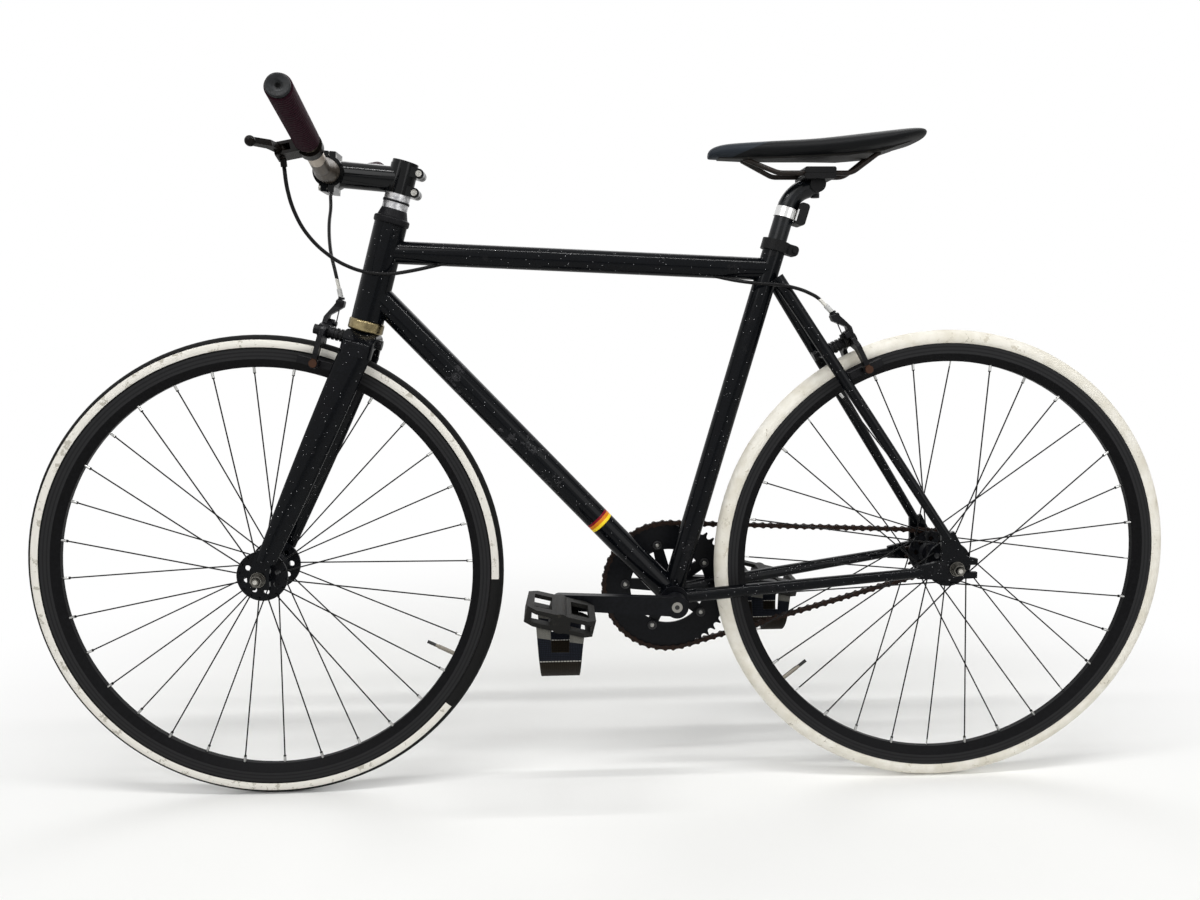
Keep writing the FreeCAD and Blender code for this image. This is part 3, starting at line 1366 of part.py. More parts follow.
def chain_point(count):
    """Centre of a chain pin, counted in links round the loop."""
    if count <= links_on_ring:
        return bracket + polar(upper_angle - count * ring_step, ring_radius) + chain_offset
    count -= links_on_ring
    ring_low = bracket + polar(lower_angle, ring_radius)
    cog_low = rear_axle + polar(lower_angle, cog_radius)
    if count <= links_on_run:
        return ring_low + (cog_low - ring_low) * (count / links_on_run) + chain_offset
    count -= links_on_run
    if count <= links_on_cog:
        return rear_axle + polar(lower_angle - count * cog_step, cog_radius) + chain_offset
    count -= links_on_cog
    ring_high = bracket + polar(upper_angle, ring_radius)
    cog_high = rear_axle + polar(upper_angle, cog_radius)
    return cog_high + (ring_high - cog_high) * (count / links_on_run) + chain_offset


first_cog_pin = math.ceil(links_on_ring + links_on_run)
cog_phase = lower_angle - (first_cog_pin - links_on_ring - links_on_run) * cog_step


def sprocket(teeth, phase, centre):
    """Toothed disc with a round seat for each roller."""
    circle = sprocket_radius(teeth)
    seat = roller_radius + seat_clearance
    step = 360.0 / teeth
    flank = math.radians(110)
    tip_radius = circle + tooth_height
    tip_turn = math.degrees(tooth_tip / 2 / tip_radius)
    middle = centre + vec(0, -chain_line - sprocket_thickness / 2, 0)
    edges = []
    corners = []
    for number in range(teeth):
        gap = phase + step * number
        outward = polar(gap)
        along = polar(gap + 90)
        roller = middle + outward * circle
        start = roller + outward * (seat * math.cos(flank)) - along * (seat * math.sin(flank))
        end = roller + outward * (seat * math.cos(flank)) + along * (seat * math.sin(flank))
        corners.append((start, roller - outward * seat, end,
                        middle + polar(gap + step / 2 - tip_turn, tip_radius),
                        middle + polar(gap + step / 2 + tip_turn, tip_radius)))
    for number, (start, bottom, end, tip, tip_end) in enumerate(corners):
        following = corners[(number + 1) % teeth][0]
        edges.append(Part.Arc(start, bottom, end).toShape())
        edges.append(Part.LineSegment(end, tip).toShape())
        edges.append(Part.LineSegment(tip, tip_end).toShape())
        edges.append(Part.LineSegment(tip_end, following).toShape())
    return Part.Face(Part.Wire(edges)).extrude(left * sprocket_thickness)


def link_plate_face(side):
    """Plate of one link round two pins, standing at one side of the chain."""
    half = chain_pitch / 2
    front = vec(half, side, link_half_height)
    back = vec(-half, side, link_half_height)
    down = vec(0, 0, -2 * link_half_height)
    waist = vec(0, side, link_half_height - link_waist)
    edges = [Part.Arc(back, waist, front).toShape(),
             Part.Arc(front, vec(half + link_half_height, side, 0), front + down).toShape(),
             Part.Arc(front + down, vec(0, side, -waist.z), back + down).toShape(),
             Part.Arc(back + down, vec(-half - link_half_height, side, 0), back).toShape()]
    return Part.Face(Part.Wire(edges))


def link(inner):
    """Inner link with its rollers, or outer link with its pins."""
    plate_start = inner_half_width if inner else inner_half_width + link_plate + face_gap
    plate_end = plate_start + link_plate
    half_length = inner_half_width if inner else plate_end + link_plate / 2
    shape = link_plate_face(plate_start).extrude(left * link_plate)
    shape = shape.fuse(link_plate_face(-plate_end).extrude(left * link_plate))
    for end in (-chain_pitch / 2, chain_pitch / 2):
        low = vec(end, -half_length, 0)
        high = vec(end, half_length, 0)
        shape = shape.fuse(rod(low, high, roller_radius if inner else pin_radius))
    if inner:
        for end in (-chain_pitch / 2, chain_pitch / 2):
            shape = shape.cut(rod(vec(end, -plate_end, 0), vec(end, plate_end, 0), pin_radius + hole_gap / 2))
    return shape


link_shapes = (link(True), link(False))
chain = []
for number in range(chain_links):
    start = chain_point(number)
    end = chain_point((number + 1) % chain_links)
    turn = math.degrees(math.atan2(end.z - start.z, end.x - start.x))
    place = FreeCAD.Placement((start + end) / 2, FreeCAD.Rotation(left, -turn))
    chain.append(placed(link_shapes[number % 2], place))
save("chain", *chain)

# Cog and lock ring on the rear hub
cog_side = left * (chain_line + sprocket_thickness / 2)
cog = sprocket(cog_teeth, cog_phase, rear_axle).cut(
    rod(rear_axle - cog_side, rear_axle - left * (chain_line - sprocket_thickness), thread_radius))
lockring = rod(rear_axle - cog_side, rear_axle - cog_side - left * lockring_height, lockring_radius).cut(
    rod(rear_axle - cog_side, rear_axle - cog_side - left * lockring_height, thread_radius))
save("rear_cog", cog, lockring)

# Bottom bracket: cups that carry the spindle
def bracket_cup(side):
    """Cup screwed into one end of the shell, bored for the spindle."""
    face = bracket + left * side * shell_half
    inner = face - left * side * bracket_cup_depth
    outer = face + left * side * bracket_cup_flange
    cup = rod(inner, face, shell_bore_radius).fuse(rod(face, outer, bracket_cup_radius))
    return cup.cut(rod(inner, outer, spindle_radius + running))


save("bottom_bracket_cups", bracket_cup(1), bracket_cup(-1))

# Crank axle: round in the bearings, square inside the cranks
crank_outer = crank_side + crank_thickness / 2
boss_inner = crank_outer - crank_boss_length
square_half = spindle_square / 2
spindle = rod(bracket - left * boss_inner, bracket + left * boss_inner, spindle_radius)
square_end = crank_outer - crank_bolt_height
for square_start in (boss_inner, -square_end):
    square = Part.makeBox(spindle_square, square_end - boss_inner, spindle_square,
                          bracket + vec(-square_half, square_start, -square_half))
    square.rotate(bracket, left, -crank_rise_angle)
    spindle = spindle.fuse(square)

# Crank arms: the right one carries the spider for the chainring
left_crank_end = bracket + polar(crank_rise_angle, crank_length)
right_crank_end = bracket - polar(crank_rise_angle, crank_length)


def crank_arm(end, side):
    """Arm from the crank axle to the pedal, on one side."""
    inner = left * side * (crank_outer - crank_thickness)
    depth = left * side * crank_thickness
    direction = (end - bracket).normalize()
    across_arm = direction.cross(left)
    root_half = crank_root_width / 2
    tip_half = crank_tip_width / 2
    corners = [bracket + across_arm * root_half, end + across_arm * tip_half,
               end - across_arm * tip_half, bracket - across_arm * root_half]
    arm = outline_face([corner + inner for corner in corners]).extrude(depth)
    arm = arm.fuse(rod(end + inner, end + inner + depth, tip_half))
    arm = arm.fuse(rod(bracket + left * side * boss_inner, bracket + left * side * crank_outer,
                       crank_boss_radius))
    return arm


bolt_places = [bracket + polar(crank_rise_angle + 180 + 36 + 72 * number, ring_bolt_circle)
               for number in range(ring_bolt_count)]
ring_outer = -chain_line - sprocket_thickness / 2
ring_inner_face = -chain_line + sprocket_thickness / 2
spider_outer = ring_outer - spider_thickness
spider = rod(bracket + left * ring_outer, bracket + left * spider_outer, crank_boss_radius + 6)
for place in bolt_places:
    outward = (place - bracket).normalize()
    sideways = outward.cross(left) * (spider_arm_width / 2)
    corners = [bracket + sideways * 1.4, place + sideways, place - sideways, bracket - sideways * 1.4]
    spider_arm = outline_face([corner + left * ring_outer for corner in corners]).extrude(
        left * -spider_thickness)
    spider_tip = rod(place + left * ring_outer, place + left * spider_outer, spider_arm_width / 2)
    spider = spider.fuse(spider_arm).fuse(spider_tip)
left_crank = crank_arm(left_crank_end, 1)
right_crank = crank_arm(right_crank_end, -1).fuse(spider)
right_crank = right_crank.fuse(rod(bracket + left * spider_outer, bracket - left * crank_outer,
                                   crank_boss_radius))

# Bolts of the cranks and the chainring
crank_bolts = []
for side in (1, -1):
    seat = bracket + left * side * square_end
    crank_bolts.append(rod(seat, seat + left * side * crank_bolt_height, crank_bolt_head))
ring_bolts = []
for place in bolt_places:
    inner = place + left * ring_inner_face
    outer = place + left * spider_outer
    bolt = rod(inner, outer, ring_bolt_radius)
    bolt = bolt.fuse(rod(inner, inner + left * ring_bolt_head_height, ring_bolt_head))
    ring_bolts.append(bolt.fuse(rod(outer, outer - left * ring_bolt_head_height, ring_bolt_head)))
chainring = sprocket(ring_teeth, upper_angle, bracket)
chainring = chainring.cut(rod(bracket + left * ring_outer, bracket + left * ring_inner_face, ring_bore_radius))

# Pedal spindles screwed into the crank ends
pedal_inner = crank_outer + pedal_gap
pedal_outer = pedal_inner + pedal_width
pedal_spindles = []
for end, side in ((left_crank_end, 1), (right_crank_end, -1)):
    start = end + left * side * (crank_outer - crank_thickness)
    stop = end + left * side * (pedal_outer - pedal_cap_height - 1)
    shaft = rod(start, stop, pedal_spindle_radius)
    shaft = shaft.fuse(rod(end + left * side * crank_outer, end + left * side * (pedal_inner - face_gap),
                           pedal_spindle_radius * 1.7))
    pedal_spindles.append(shaft)

for tool in ring_bolts:
    chainring = chainring.cut(tool)
    right_crank = right_crank.cut(tool)
left_crank = left_crank.cut(spindle).cut(crank_bolts[0]).cut(pedal_spindles[0])
right_crank = right_crank.cut(spindle).cut(crank_bolts[1]).cut(pedal_spindles[1])
save("crank_arms", left_crank, right_crank)
save("crank_spindle", spindle, *crank_bolts, *ring_bolts)
save("chainring", chainring)
save("pedal_spindles", *pedal_spindles)


# Pedals: cages of two windowed plates and end walls, tipped down at the rear as they hang
def pedal_body(end):
    """Platform body for the left, drawn level and then tipped about its spindle."""
    half_length = pedal_length / 2
    half_height = pedal_height / 2
    low = end + left * pedal_inner
    plan = [(-half_length, pedal_corner), (-half_length, pedal_width - pedal_corner),
            (-half_length + pedal_corner, pedal_width), (half_length - pedal_corner, pedal_width),
            (half_length, pedal_width - pedal_corner), (half_length, pedal_corner),
            (half_length - pedal_corner, 0), (-half_length + pedal_corner, 0)]
    body = outline_face([low + vec(x, y, -half_height) for x, y in plan]).extrude(vec(0, 0, pedal_height))
    window_start = half_length - pedal_rail - pedal_window_length
    for x in (window_start, -window_start - pedal_window_length):
        corner = low + vec(x, (pedal_width - pedal_window_width) / 2, -half_height)
        body = body.cut(Part.makeBox(pedal_window_length, pedal_window_width, pedal_height, corner))
    cage_length = half_length - pedal_end_wall - window_start
    for x in (window_start, -window_start - cage_length):
        corner = low + vec(x, 0, pedal_plate - half_height)
        body = body.cut(Part.makeBox(cage_length, pedal_width, pedal_height - 2 * pedal_plate, corner))
    barrel_end = low + left * (pedal_width - pedal_cap_height)
    body = body.fuse(rod(low, low + left * pedal_width, pedal_barrel_radius))
    body = body.cut(rod(low, barrel_end, pedal_spindle_radius + running))
    body.rotate(end, left, -pedal_tilt)
    return body


def foot_strap(end):
    """Webbing loop for the left, hanging below the pedal and narrower at its foot."""
    near = pedal_inner + strap_inset
    far = pedal_outer - strap_inset
    middle = (near + far) / 2
    top = -soft_gap
    bottom = -strap_hang - pedal_height / 2
    curl = bottom + (far - near) * strap_curl

    def at(side, up):
        return end + vec(-strap_width / 2, side, up)

    inner_near = near + strap_thickness
    inner_far = far - strap_thickness
    outer_arc = Part.Arc(at(near, curl), at(middle, bottom), at(far, curl)).toShape()
    inner_arc = Part.Arc(at(inner_far, curl), at(middle, bottom + strap_thickness), at(inner_near, curl)).toShape()
    edges = [Part.LineSegment(at(near, top), at(near, curl)).toShape(), outer_arc,
             Part.LineSegment(at(far, curl), at(far, top)).toShape(),
             Part.LineSegment(at(far, top), at(inner_far, top)).toShape(),
             Part.LineSegment(at(inner_far, top), at(inner_far, curl)).toShape(), inner_arc,
             Part.LineSegment(at(inner_near, curl), at(inner_near, top)).toShape(),
             Part.LineSegment(at(inner_near, top), at(near, top)).toShape()]
    band = Part.Face(Part.Wire(edges)).extrude(vec(strap_width, 0, 0))
    lean = (strap_width - strap_end_width) / 2
    for side in (1, -1):
        wedge = [(side * strap_width / 2, top), (side * strap_width, top), (side * strap_width, bottom),
                 (side * (strap_width / 2 - lean), bottom)]
        band = band.cut(outline_face([end + vec(x, near, up) for x, up in wedge]).extrude(left * (far - near)))
    tipped = pedal_body(end)
    slab = Part.makeBox(pedal_length * 2, pedal_width * 2, pedal_height + 2 * soft_gap,
                        end + vec(-pedal_length, pedal_inner - pedal_width / 2, -pedal_height / 2 - soft_gap))
    slab.rotate(end, left, -pedal_tilt)
    return band.cut(slab).cut(tipped)


def to_right(shape):
    """Left pedal piece moved to the right crank."""
    copy = mirrored(shape)
    copy.translate(right_crank_end - left_crank_end)
    return copy


left_body = pedal_body(left_crank_end)
left_strap = foot_strap(left_crank_end)
save("left_pedal", left_body)
save("right_pedal", to_right(left_body))
save("left_foot_strap", left_strap)
save("right_foot_strap", to_right(left_strap))

# Seatpost: straight in the seat tube, then laid back under the saddle
post_corner = on_seat(post_bend)
post_end = post_corner + polar(180 - post_layback_angle, post_layback)
post_route = [on_seat(post_foot), post_corner, post_end]
post_solid = bent_rod(post_route, post_radius, post_bend_radius)
seatpost = post_solid.cut(bent_rod(post_route, post_radius - post_wall, post_bend_radius))
half_head = left * clamp_head_length / 2
head_cylinder = rod(post_end - half_head, post_end + half_head, clamp_head_radius)
seatpost = seatpost.cut(head_cylinder)

# Saddle rails and the clamp that holds them on the seatpost
rail_line = post_end.z + rail_height
rail_middle = vec(post_end.x, 0, rail_line)
saddle_nose = rail_middle.x + saddle_nose_ahead
rail_front = saddle_nose - 50.0
rail_rear = saddle_nose - saddle_length + 62.0
rail_front_rise = 20.8
rail_rear_rise = 27.3
rail_route = [vec(rail_front, 8, rail_line + rail_front_rise), vec(rail_front - 46, rail_side, rail_line),
              vec(rail_rear + 36, rail_side, rail_line), vec(rail_rear, rail_side + 8, rail_line + rail_rear_rise)]
rail = bent_rod(rail_route, rail_radius, rail_bend_radius)
half_clamp_length = rail_clamp_length / 2
clamp_width = (rail_side + rail_clamp_margin) * 2


def rail_plate(low, high):
    """Plate across both rails, grooved for them."""
    box = Part.makeBox(rail_clamp_length, clamp_width, high - low,
                       vec(rail_middle.x - half_clamp_length, -clamp_width / 2, low))
    box = rounded(box, left, rail_clamp_round)
    for side in (rail_side, -rail_side):
        box = box.cut(rod(rail_middle + vec(-half_clamp_length, side, 0),
                          rail_middle + vec(half_clamp_length, side, 0), rail_radius + running))
    return box


upper_plate = rail_plate(rail_line + face_gap, rail_line + rail_clamp_plate)
lower_plate = rail_plate(rail_line - rail_clamp_plate, rail_line - face_gap)
lower_plate = lower_plate.cut(head_cylinder).cut(post_solid)
clamp_bolt_top = rail_middle + vec(0, 0, rail_clamp_plate + 3)
clamp_bolt_low = post_end - vec(0, 0, clamp_head_radius + 6)
clamp_bolt = rod(clamp_bolt_low, clamp_bolt_top, rail_clamp_bolt_radius)
clamp_bolt = clamp_bolt.fuse(rod(clamp_bolt_low, clamp_bolt_low + vec(0, 0, 6), rail_clamp_bolt_radius * 2))
clamp_pieces = [piece.cut(clamp_bolt) for piece in (head_cylinder, upper_plate, lower_plate)]
save("seatpost", seatpost.cut(clamp_bolt))
save("saddle_rails", rail, mirrored(rail))
save("saddle_clamp", *clamp_pieces, clamp_bolt)

# Saddle: crowned padding with drawn-in sides and a thin base let into its underside; stations run
# from nose to tail
saddle_stations = [
    (0.00, 0.12, 21, 28),
    (0.05, 0.25, 21, 39),
    (0.17, 0.33, 20, 43),
    (0.31, 0.40, 20, 45),
    (0.48, 0.53, 21, 47),
    (0.64, 0.76, 22, 51),
    (0.80, 0.96, 27, 55),
    (0.92, 0.97, 39, 58),
    (1.00, 0.55, 46, 55),
]


def saddle_section(share, width, low, high):
    """Closed outline across the saddle: flat foot, leaning sides and a crowned top."""
    x = saddle_nose - saddle_length * share
    half = saddle_half_width * width
    foot = rail_line + low
    top = rail_line + high
    shoulder = foot + (top - foot) * 0.5
    corners = [vec(x, half * 0.8, foot), vec(x, half, shoulder), vec(x, -half, shoulder),
               vec(x, -half * 0.8, foot)]
    crown_arc = Part.Arc(corners[1], vec(x, 0, top), corners[2]).toShape()
    return Part.Wire([Part.LineSegment(corners[0], corners[1]).toShape(), crown_arc,
                      Part.LineSegment(corners[2], corners[3]).toShape(),
                      Part.LineSegment(corners[3], corners[0]).toShape()])


def base_section(share, width, low, gap):
    """Flat outline of the saddle base, or of the room for it with a gap round it."""
    x = saddle_nose - saddle_length * share
    half = saddle_half_width * width * 0.66 + gap
    foot = rail_line + low - gap * 10
    top = rail_line + low + saddle_base_thickness + gap
    return Part.makePolygon([vec(x, half, top), vec(x, -half, top), vec(x, -half, foot), vec(x, half, foot),
                             vec(x, half, top)])


saddle_cover = Part.makeLoft([saddle_section(*station) for station in saddle_stations], True, False)
base_stations = [station[:3] for station in saddle_stations[1:-1]]
saddle_base = Part.makeLoft([base_section(*station, 0) for station in base_stations], True, True)
base_room = Part.makeLoft([base_section(*station, soft_gap) for station in base_stations], True, True)
for step in (-soft_gap, 0, soft_gap):
    saddle_cover = saddle_cover.cut(base_room.translated(vec(step, 0, 0)))
for piece in (rail, mirrored(rail), upper_plate, clamp_bolt):
    saddle_base = saddle_base.cut(piece)
    saddle_cover = saddle_cover.cut(piece)
save("saddle_cover", saddle_cover)
save("saddle_base", saddle_base)

# Band with a reflector block behind the seatpost
band_high = post_bend - post_bend_radius * 0.5
band_low = band_high - band_height
band = pipe(on_seat(band_low), on_seat(band_high), post_radius + band_wall, band_wall)
block_frame = frame_at(on_seat(band_high - reflector_height * 0.62), seat_forward, left)
block = Part.makeBox(reflector_depth, reflector_half_width * 2, reflector_height,
                     vec(-post_radius - reflector_depth, -reflector_half_width, 0))
block = placed(rounded(block, left, reflector_round), block_frame)
band_space = rod(on_seat(post_foot), on_seat(band_high), post_radius + band_wall)
block = block.cut(band_space).cut(post_solid)
save("reflector_bracket", band, block)

print("chain centres", round(chain_centres, 2))
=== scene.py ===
import json
import math

import bmesh
import bpy
from mathutils import Matrix, Vector


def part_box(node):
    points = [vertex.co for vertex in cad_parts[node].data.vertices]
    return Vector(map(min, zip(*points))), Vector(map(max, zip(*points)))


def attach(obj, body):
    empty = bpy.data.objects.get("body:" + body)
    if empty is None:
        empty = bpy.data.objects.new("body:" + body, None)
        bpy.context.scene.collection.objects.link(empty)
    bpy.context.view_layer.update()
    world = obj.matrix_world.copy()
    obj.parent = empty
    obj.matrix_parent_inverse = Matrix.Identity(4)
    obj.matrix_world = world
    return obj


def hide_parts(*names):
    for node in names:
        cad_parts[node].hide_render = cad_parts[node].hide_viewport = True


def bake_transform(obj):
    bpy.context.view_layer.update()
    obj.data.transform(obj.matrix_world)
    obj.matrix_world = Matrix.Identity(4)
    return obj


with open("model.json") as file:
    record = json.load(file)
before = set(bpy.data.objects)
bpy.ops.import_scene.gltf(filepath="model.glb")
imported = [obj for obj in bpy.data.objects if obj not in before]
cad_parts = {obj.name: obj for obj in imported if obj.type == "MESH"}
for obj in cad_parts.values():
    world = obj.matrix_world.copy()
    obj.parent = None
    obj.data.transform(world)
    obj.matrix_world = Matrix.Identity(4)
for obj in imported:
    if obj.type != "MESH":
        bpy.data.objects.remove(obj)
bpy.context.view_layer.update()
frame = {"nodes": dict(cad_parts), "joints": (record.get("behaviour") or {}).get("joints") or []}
nodes = frame["nodes"]
scene = bpy.context.scene
scene.view_settings.view_transform = "Standard"

# Camera. It stands to the left of the bicycle at chest height and looks slightly down,
# with the wide lens of a telephone held close to its subject.
camera = bpy.data.objects.new("camera", bpy.data.cameras.new("camera"))
scene.collection.objects.link(camera)
scene.camera = camera
camera.data.sensor_width = 36.0
camera.data.lens = 29.497
look = Vector((-0.04594, -0.99039, -0.13049)).normalized()
level = look.cross(Vector((0, 0, 1))).normalized()
rise = level.cross(look)
tilt = math.radians(-0.3762)
across = level * math.cos(tilt) + rise * math.sin(tilt)
upright = rise * math.cos(tilt) - level * math.sin(tilt)
camera.matrix_world = Matrix((across, upright, -look)).transposed().to_4x4()
camera.matrix_world.translation = Vector((0.077566, 1.400464, 0.688224))


# Studio. A pale matt floor that fades into an even white surround, two large soft lamps on
# the camera's side, one behind, and a narrow strip overhead that draws a line along each tube.
def srgb(code):
    """Linear colour of an sRGB hex value."""
    channels = [int(code[place:place + 2], 16) / 255 for place in (1, 3, 5)]
    linear = [c / 12.92 if c <= 0.04045 else ((c + 0.055) / 1.055) ** 2.4 for c in channels]
    return (*linear, 1.0)


def add(material, kind, links=None, values=None, **settings):
    """Add one node to a material with its settings, plain values and links."""
    tree = material.node_tree
    node = tree.nodes.new(kind)
    for name, value in settings.items():
        setattr(node, name, value)
    for name, value in (values or {}).items():
        node.inputs[name].default_value = value
    for name, source in (links or {}).items():
        tree.links.new(source, node.inputs[name])
    return node


def new_piece(name, shape):
    """Object at the origin from a finished bmesh, with smooth shading."""
    mesh = bpy.data.meshes.new(name)
    shape.to_mesh(mesh)
    shape.free()
    mesh.shade_smooth()
    piece = bpy.data.objects.new(name, mesh)
    scene.collection.objects.link(piece)
    return piece


def finish(name, colour, roughness, metallic=0.0, **sockets):
    """New material with the shader's plain values, its shader and its Object coordinates."""
    material = bpy.data.materials.new(name)
    material.use_nodes = True
    shader = material.node_tree.nodes["Principled BSDF"]
    shader.inputs["Base Color"].default_value = srgb(colour)
    shader.inputs["Roughness"].default_value = roughness
    shader.inputs["Metallic"].default_value = metallic
    for socket, value in sockets.items():
        shader.inputs[socket.replace("_", " ")].default_value = value
    place = add(material, "ShaderNodeTexCoord").outputs["Object"]
    return material, shader, place


ambient_level = 0.42
floor_radius = 12.0
fade_start = 0.55
fade_end = 1.5
world = bpy.data.worlds.new("white_surround")
scene.world = world
world.use_nodes = True
surround = world.node_tree.nodes["Background"]
surround.inputs["Color"].default_value = srgb("#ffffff")
rays = add(world, "ShaderNodeLightPath")
seen = rays.outputs["Is Camera Ray"]
for kind in ("Is Glossy Ray", "Is Transmission Ray"):
    seen = add(world, "ShaderNodeMath", {0: seen, 1: rays.outputs[kind]}, operation="MAXIMUM").outputs[0]
ambient = add(world, "ShaderNodeMapRange", {"Value": seen}, {"To Min": ambient_level, "To Max": 1.0})
world.node_tree.links.new(ambient.outputs["Result"], surround.inputs["Strength"])

shape = bmesh.new()
bmesh.ops.create_circle(shape, cap_ends=True, segments=96, radius=floor_radius)
floor = new_piece("floor", shape)
floor_paint, shader, place = finish("matt_white_floor_paint", "#f3f3f1", 0.9, Specular_IOR_Level=0.1)
distance = add(floor_paint, "ShaderNodeVectorMath", {0: place}, operation="LENGTH").outputs["Value"]
fade = add(floor_paint, "ShaderNodeMapRange", {"Value": distance},
           {"From Min": fade_start, "From Max": fade_end}, interpolation_type="SMOOTHSTEP").outputs["Result"]
rays = add(floor_paint, "ShaderNodeLightPath")
fade = add(floor_paint, "ShaderNodeMath", {0: fade, 1: rays.outputs["Is Camera Ray"]}, operation="MULTIPLY")
glow = add(floor_paint, "ShaderNodeEmission", values={"Color": srgb("#ffffff"), "Strength": 1.0})
blend = add(floor_paint, "ShaderNodeMixShader",
            {0: fade.outputs[0], 1: shader.outputs["BSDF"], 2: glow.outputs["Emission"]})
surface = floor_paint.node_tree.nodes["Material Output"].inputs["Surface"]
floor_paint.node_tree.links.new(blend.outputs["Shader"], surface)
floor.data.materials.append(floor_paint)

for name, stand, aim, width, depth, power in (
        ("key_lamp", (1.5, 2.6, 2.6), (0.0, 0.0, 0.5), 2.0, 2.0, 36.0),
        ("fill_lamp", (-2.2, 2.4, 1.5), (0.0, 0.0, 0.5), 2.0, 2.0, 21.0),
        ("back_lamp", (-0.3, -2.4, 2.4), (0.0, 0.0, 0.6), 2.4, 2.0, 28.0),
        ("strip_lamp", (0.0, 0.7, 2.3), (0.0, 0.0, 0.5), 2.6, 0.05, 26.0)):
    lamp = bpy.data.objects.new(name, bpy.data.lights.new(name, "AREA"))
    scene.collection.objects.link(lamp)
    lamp.data.shape = "RECTANGLE"
    lamp.data.size = width
    lamp.data.size_y = depth
    lamp.data.energy = power
    lamp.location = stand
    lamp.rotation_euler = (Vector(stand) - Vector(aim)).to_track_quat("Z", "Y").to_euler()


# Frame tubes and fork. Welded steel tube under black gloss enamel: deep black with a wet
# line of light, fine grit in the lacquer, and dull places where it has been rubbed.
def mottle(material, shader, place, grain, colours, roughness, relief):
    """Cloud a surface with a grain in millimetres, between two colours and two roughnesses."""
    tree = material.node_tree
    noise = add(material, "ShaderNodeTexNoise", {"Vector": place},
                {"Scale": 1000.0 / grain, "Detail": 5.0, "Roughness": 0.62})
    shade = add(material, "ShaderNodeValToRGB", {"Fac": noise.outputs["Fac"]})
    for element, position, colour in zip(shade.color_ramp.elements, (0.35, 0.68), colours):
        element.position = position
        element.color = srgb(colour)
    gloss = add(material, "ShaderNodeMapRange", {"Value": noise.outputs["Fac"]},
                {"From Min": 0.3, "From Max": 0.7, "To Min": roughness[0], "To Max": roughness[1]})
    bump = add(material, "ShaderNodeBump", {"Height": noise.outputs["Fac"]},
               {"Strength": 1.0, "Distance": relief / 1000.0})
    tree.links.new(shade.outputs["Color"], shader.inputs["Base Color"])
    tree.links.new(gloss.outputs["Result"], shader.inputs["Roughness"])
    tree.links.new(bump.outputs["Normal"], shader.inputs["Normal"])


def paint(material, shader, colour, roughness, *limits, metallic=None):
    """Lay another finish over a shader where each given value lies between its two limits."""
    tree = material.node_tree
    mask = None
    for value, low, high in limits:
        inside = add(material, "ShaderNodeMath", {0: value}, {1: (low + high) / 2, 2: (high - low) / 2},
                     operation="COMPARE").outputs[0]
        if mask is not None:
            inside = add(material, "ShaderNodeMath", {0: inside, 1: mask}, operation="MULTIPLY").outputs[0]
        mask = inside
    for socket, value in (("Base Color", srgb(colour)), ("Roughness", roughness), ("Metallic", metallic)):
        if value is None:
            continue
        target = shader.inputs[socket]
        kind, first, result = ("RGBA", 6, 2) if socket == "Base Color" else ("FLOAT", 2, 0)
        layer = add(material, "ShaderNodeMix", {0: mask}, {first + 1: value}, data_type=kind)
        layer.inputs[first].default_value = target.default_value
        if target.is_linked:
            tree.links.new(target.links[0].from_socket, layer.inputs[first])
        tree.links.new(layer.outputs[result], target)


def wear(material, shader, place, colour, roughness, grains, *limits):
    """Lay another finish in ragged patches, each a size in millimetres and the cloud where it starts."""
    for size, start in grains:
        cloud = add(material, "ShaderNodeTexNoise", {"Vector": place},
                    {"Scale": 1000.0 / size, "Detail": 8.0, "Roughness": 0.72})
        limits += ((cloud.outputs["Fac"], start, 1.0),)
    paint(material, shader, colour, roughness, *limits)


def specks(material, place, spacing, size):
    """Value from 0 to 1 in small round specks, with their spacing and size in millimetres."""
    cells = add(material, "ShaderNodeTexVoronoi", {"Vector": place}, {"Scale": 1000.0 / spacing})
    spot = add(material, "ShaderNodeMath", {0: cells.outputs["Distance"]}, {1: size / spacing / 2},
               operation="LESS_THAN")
    tint = add(material, "ShaderNodeSeparateColor", {"Color": cells.outputs["Color"]})
    return add(material, "ShaderNodeMath", {0: spot.outputs[0], 1: tint.outputs["Red"]},
               operation="MULTIPLY").outputs[0]


def dress(material, *names):
    """Give CAD nodes a material in place of their plain one."""
    for name in names:
        nodes[name].data.materials.clear()
        nodes[name].data.materials.append(material)


def enamel(name):
    """Black gloss enamel with pale grit in its lacquer."""
    material, shader, place = finish(name, "#050506", 0.2, Specular_IOR_Level=0.04, Coat_Weight=0.14,
                                     Coat_Roughness=0.06)
    mottle(material, shader, place, 3.0, ("#040507", "#080a0e"), (0.16, 0.28), 0.002)
    wear(material, shader, place, "#131315", 0.4, ((40.0, 0.6), (6.0, 0.5)))
    # The grit is drawn twice as coarse as it is, because it would not show in the picture
    paint(material, shader, "#a3a3a5", 0.4, (specks(material, place, 4.4, 0.9), 0.45, 1.1))
    paint(material, shader, "#77777b", 0.4, (specks(material, place, 15.0, 1.4), 0.7, 1.1))
    return material, shader, place


dress(enamel("black_gloss_enamel")[0], "head_tube", "top_tube", "seat_tube", "bottom_bracket_shell",
      "chainstays", "seatstays", "rear_dropouts", "fork_crown", "fork_blades")


# Down tube. The same enamel with a narrow band of red, amber and yellow near the cranks,
# and pale rubbed marks where something wore through the gloss on its side.
def along(material, place, origin, direction):
    """Distance in metres along a direction from an origin."""
    offset = add(material, "ShaderNodeVectorMath", {0: place}, {1: origin}, operation="SUBTRACT")
    return add(material, "ShaderNodeVectorMath", {0: offset.outputs[0]}, {1: direction},
               operation="DOT_PRODUCT").outputs["Value"]


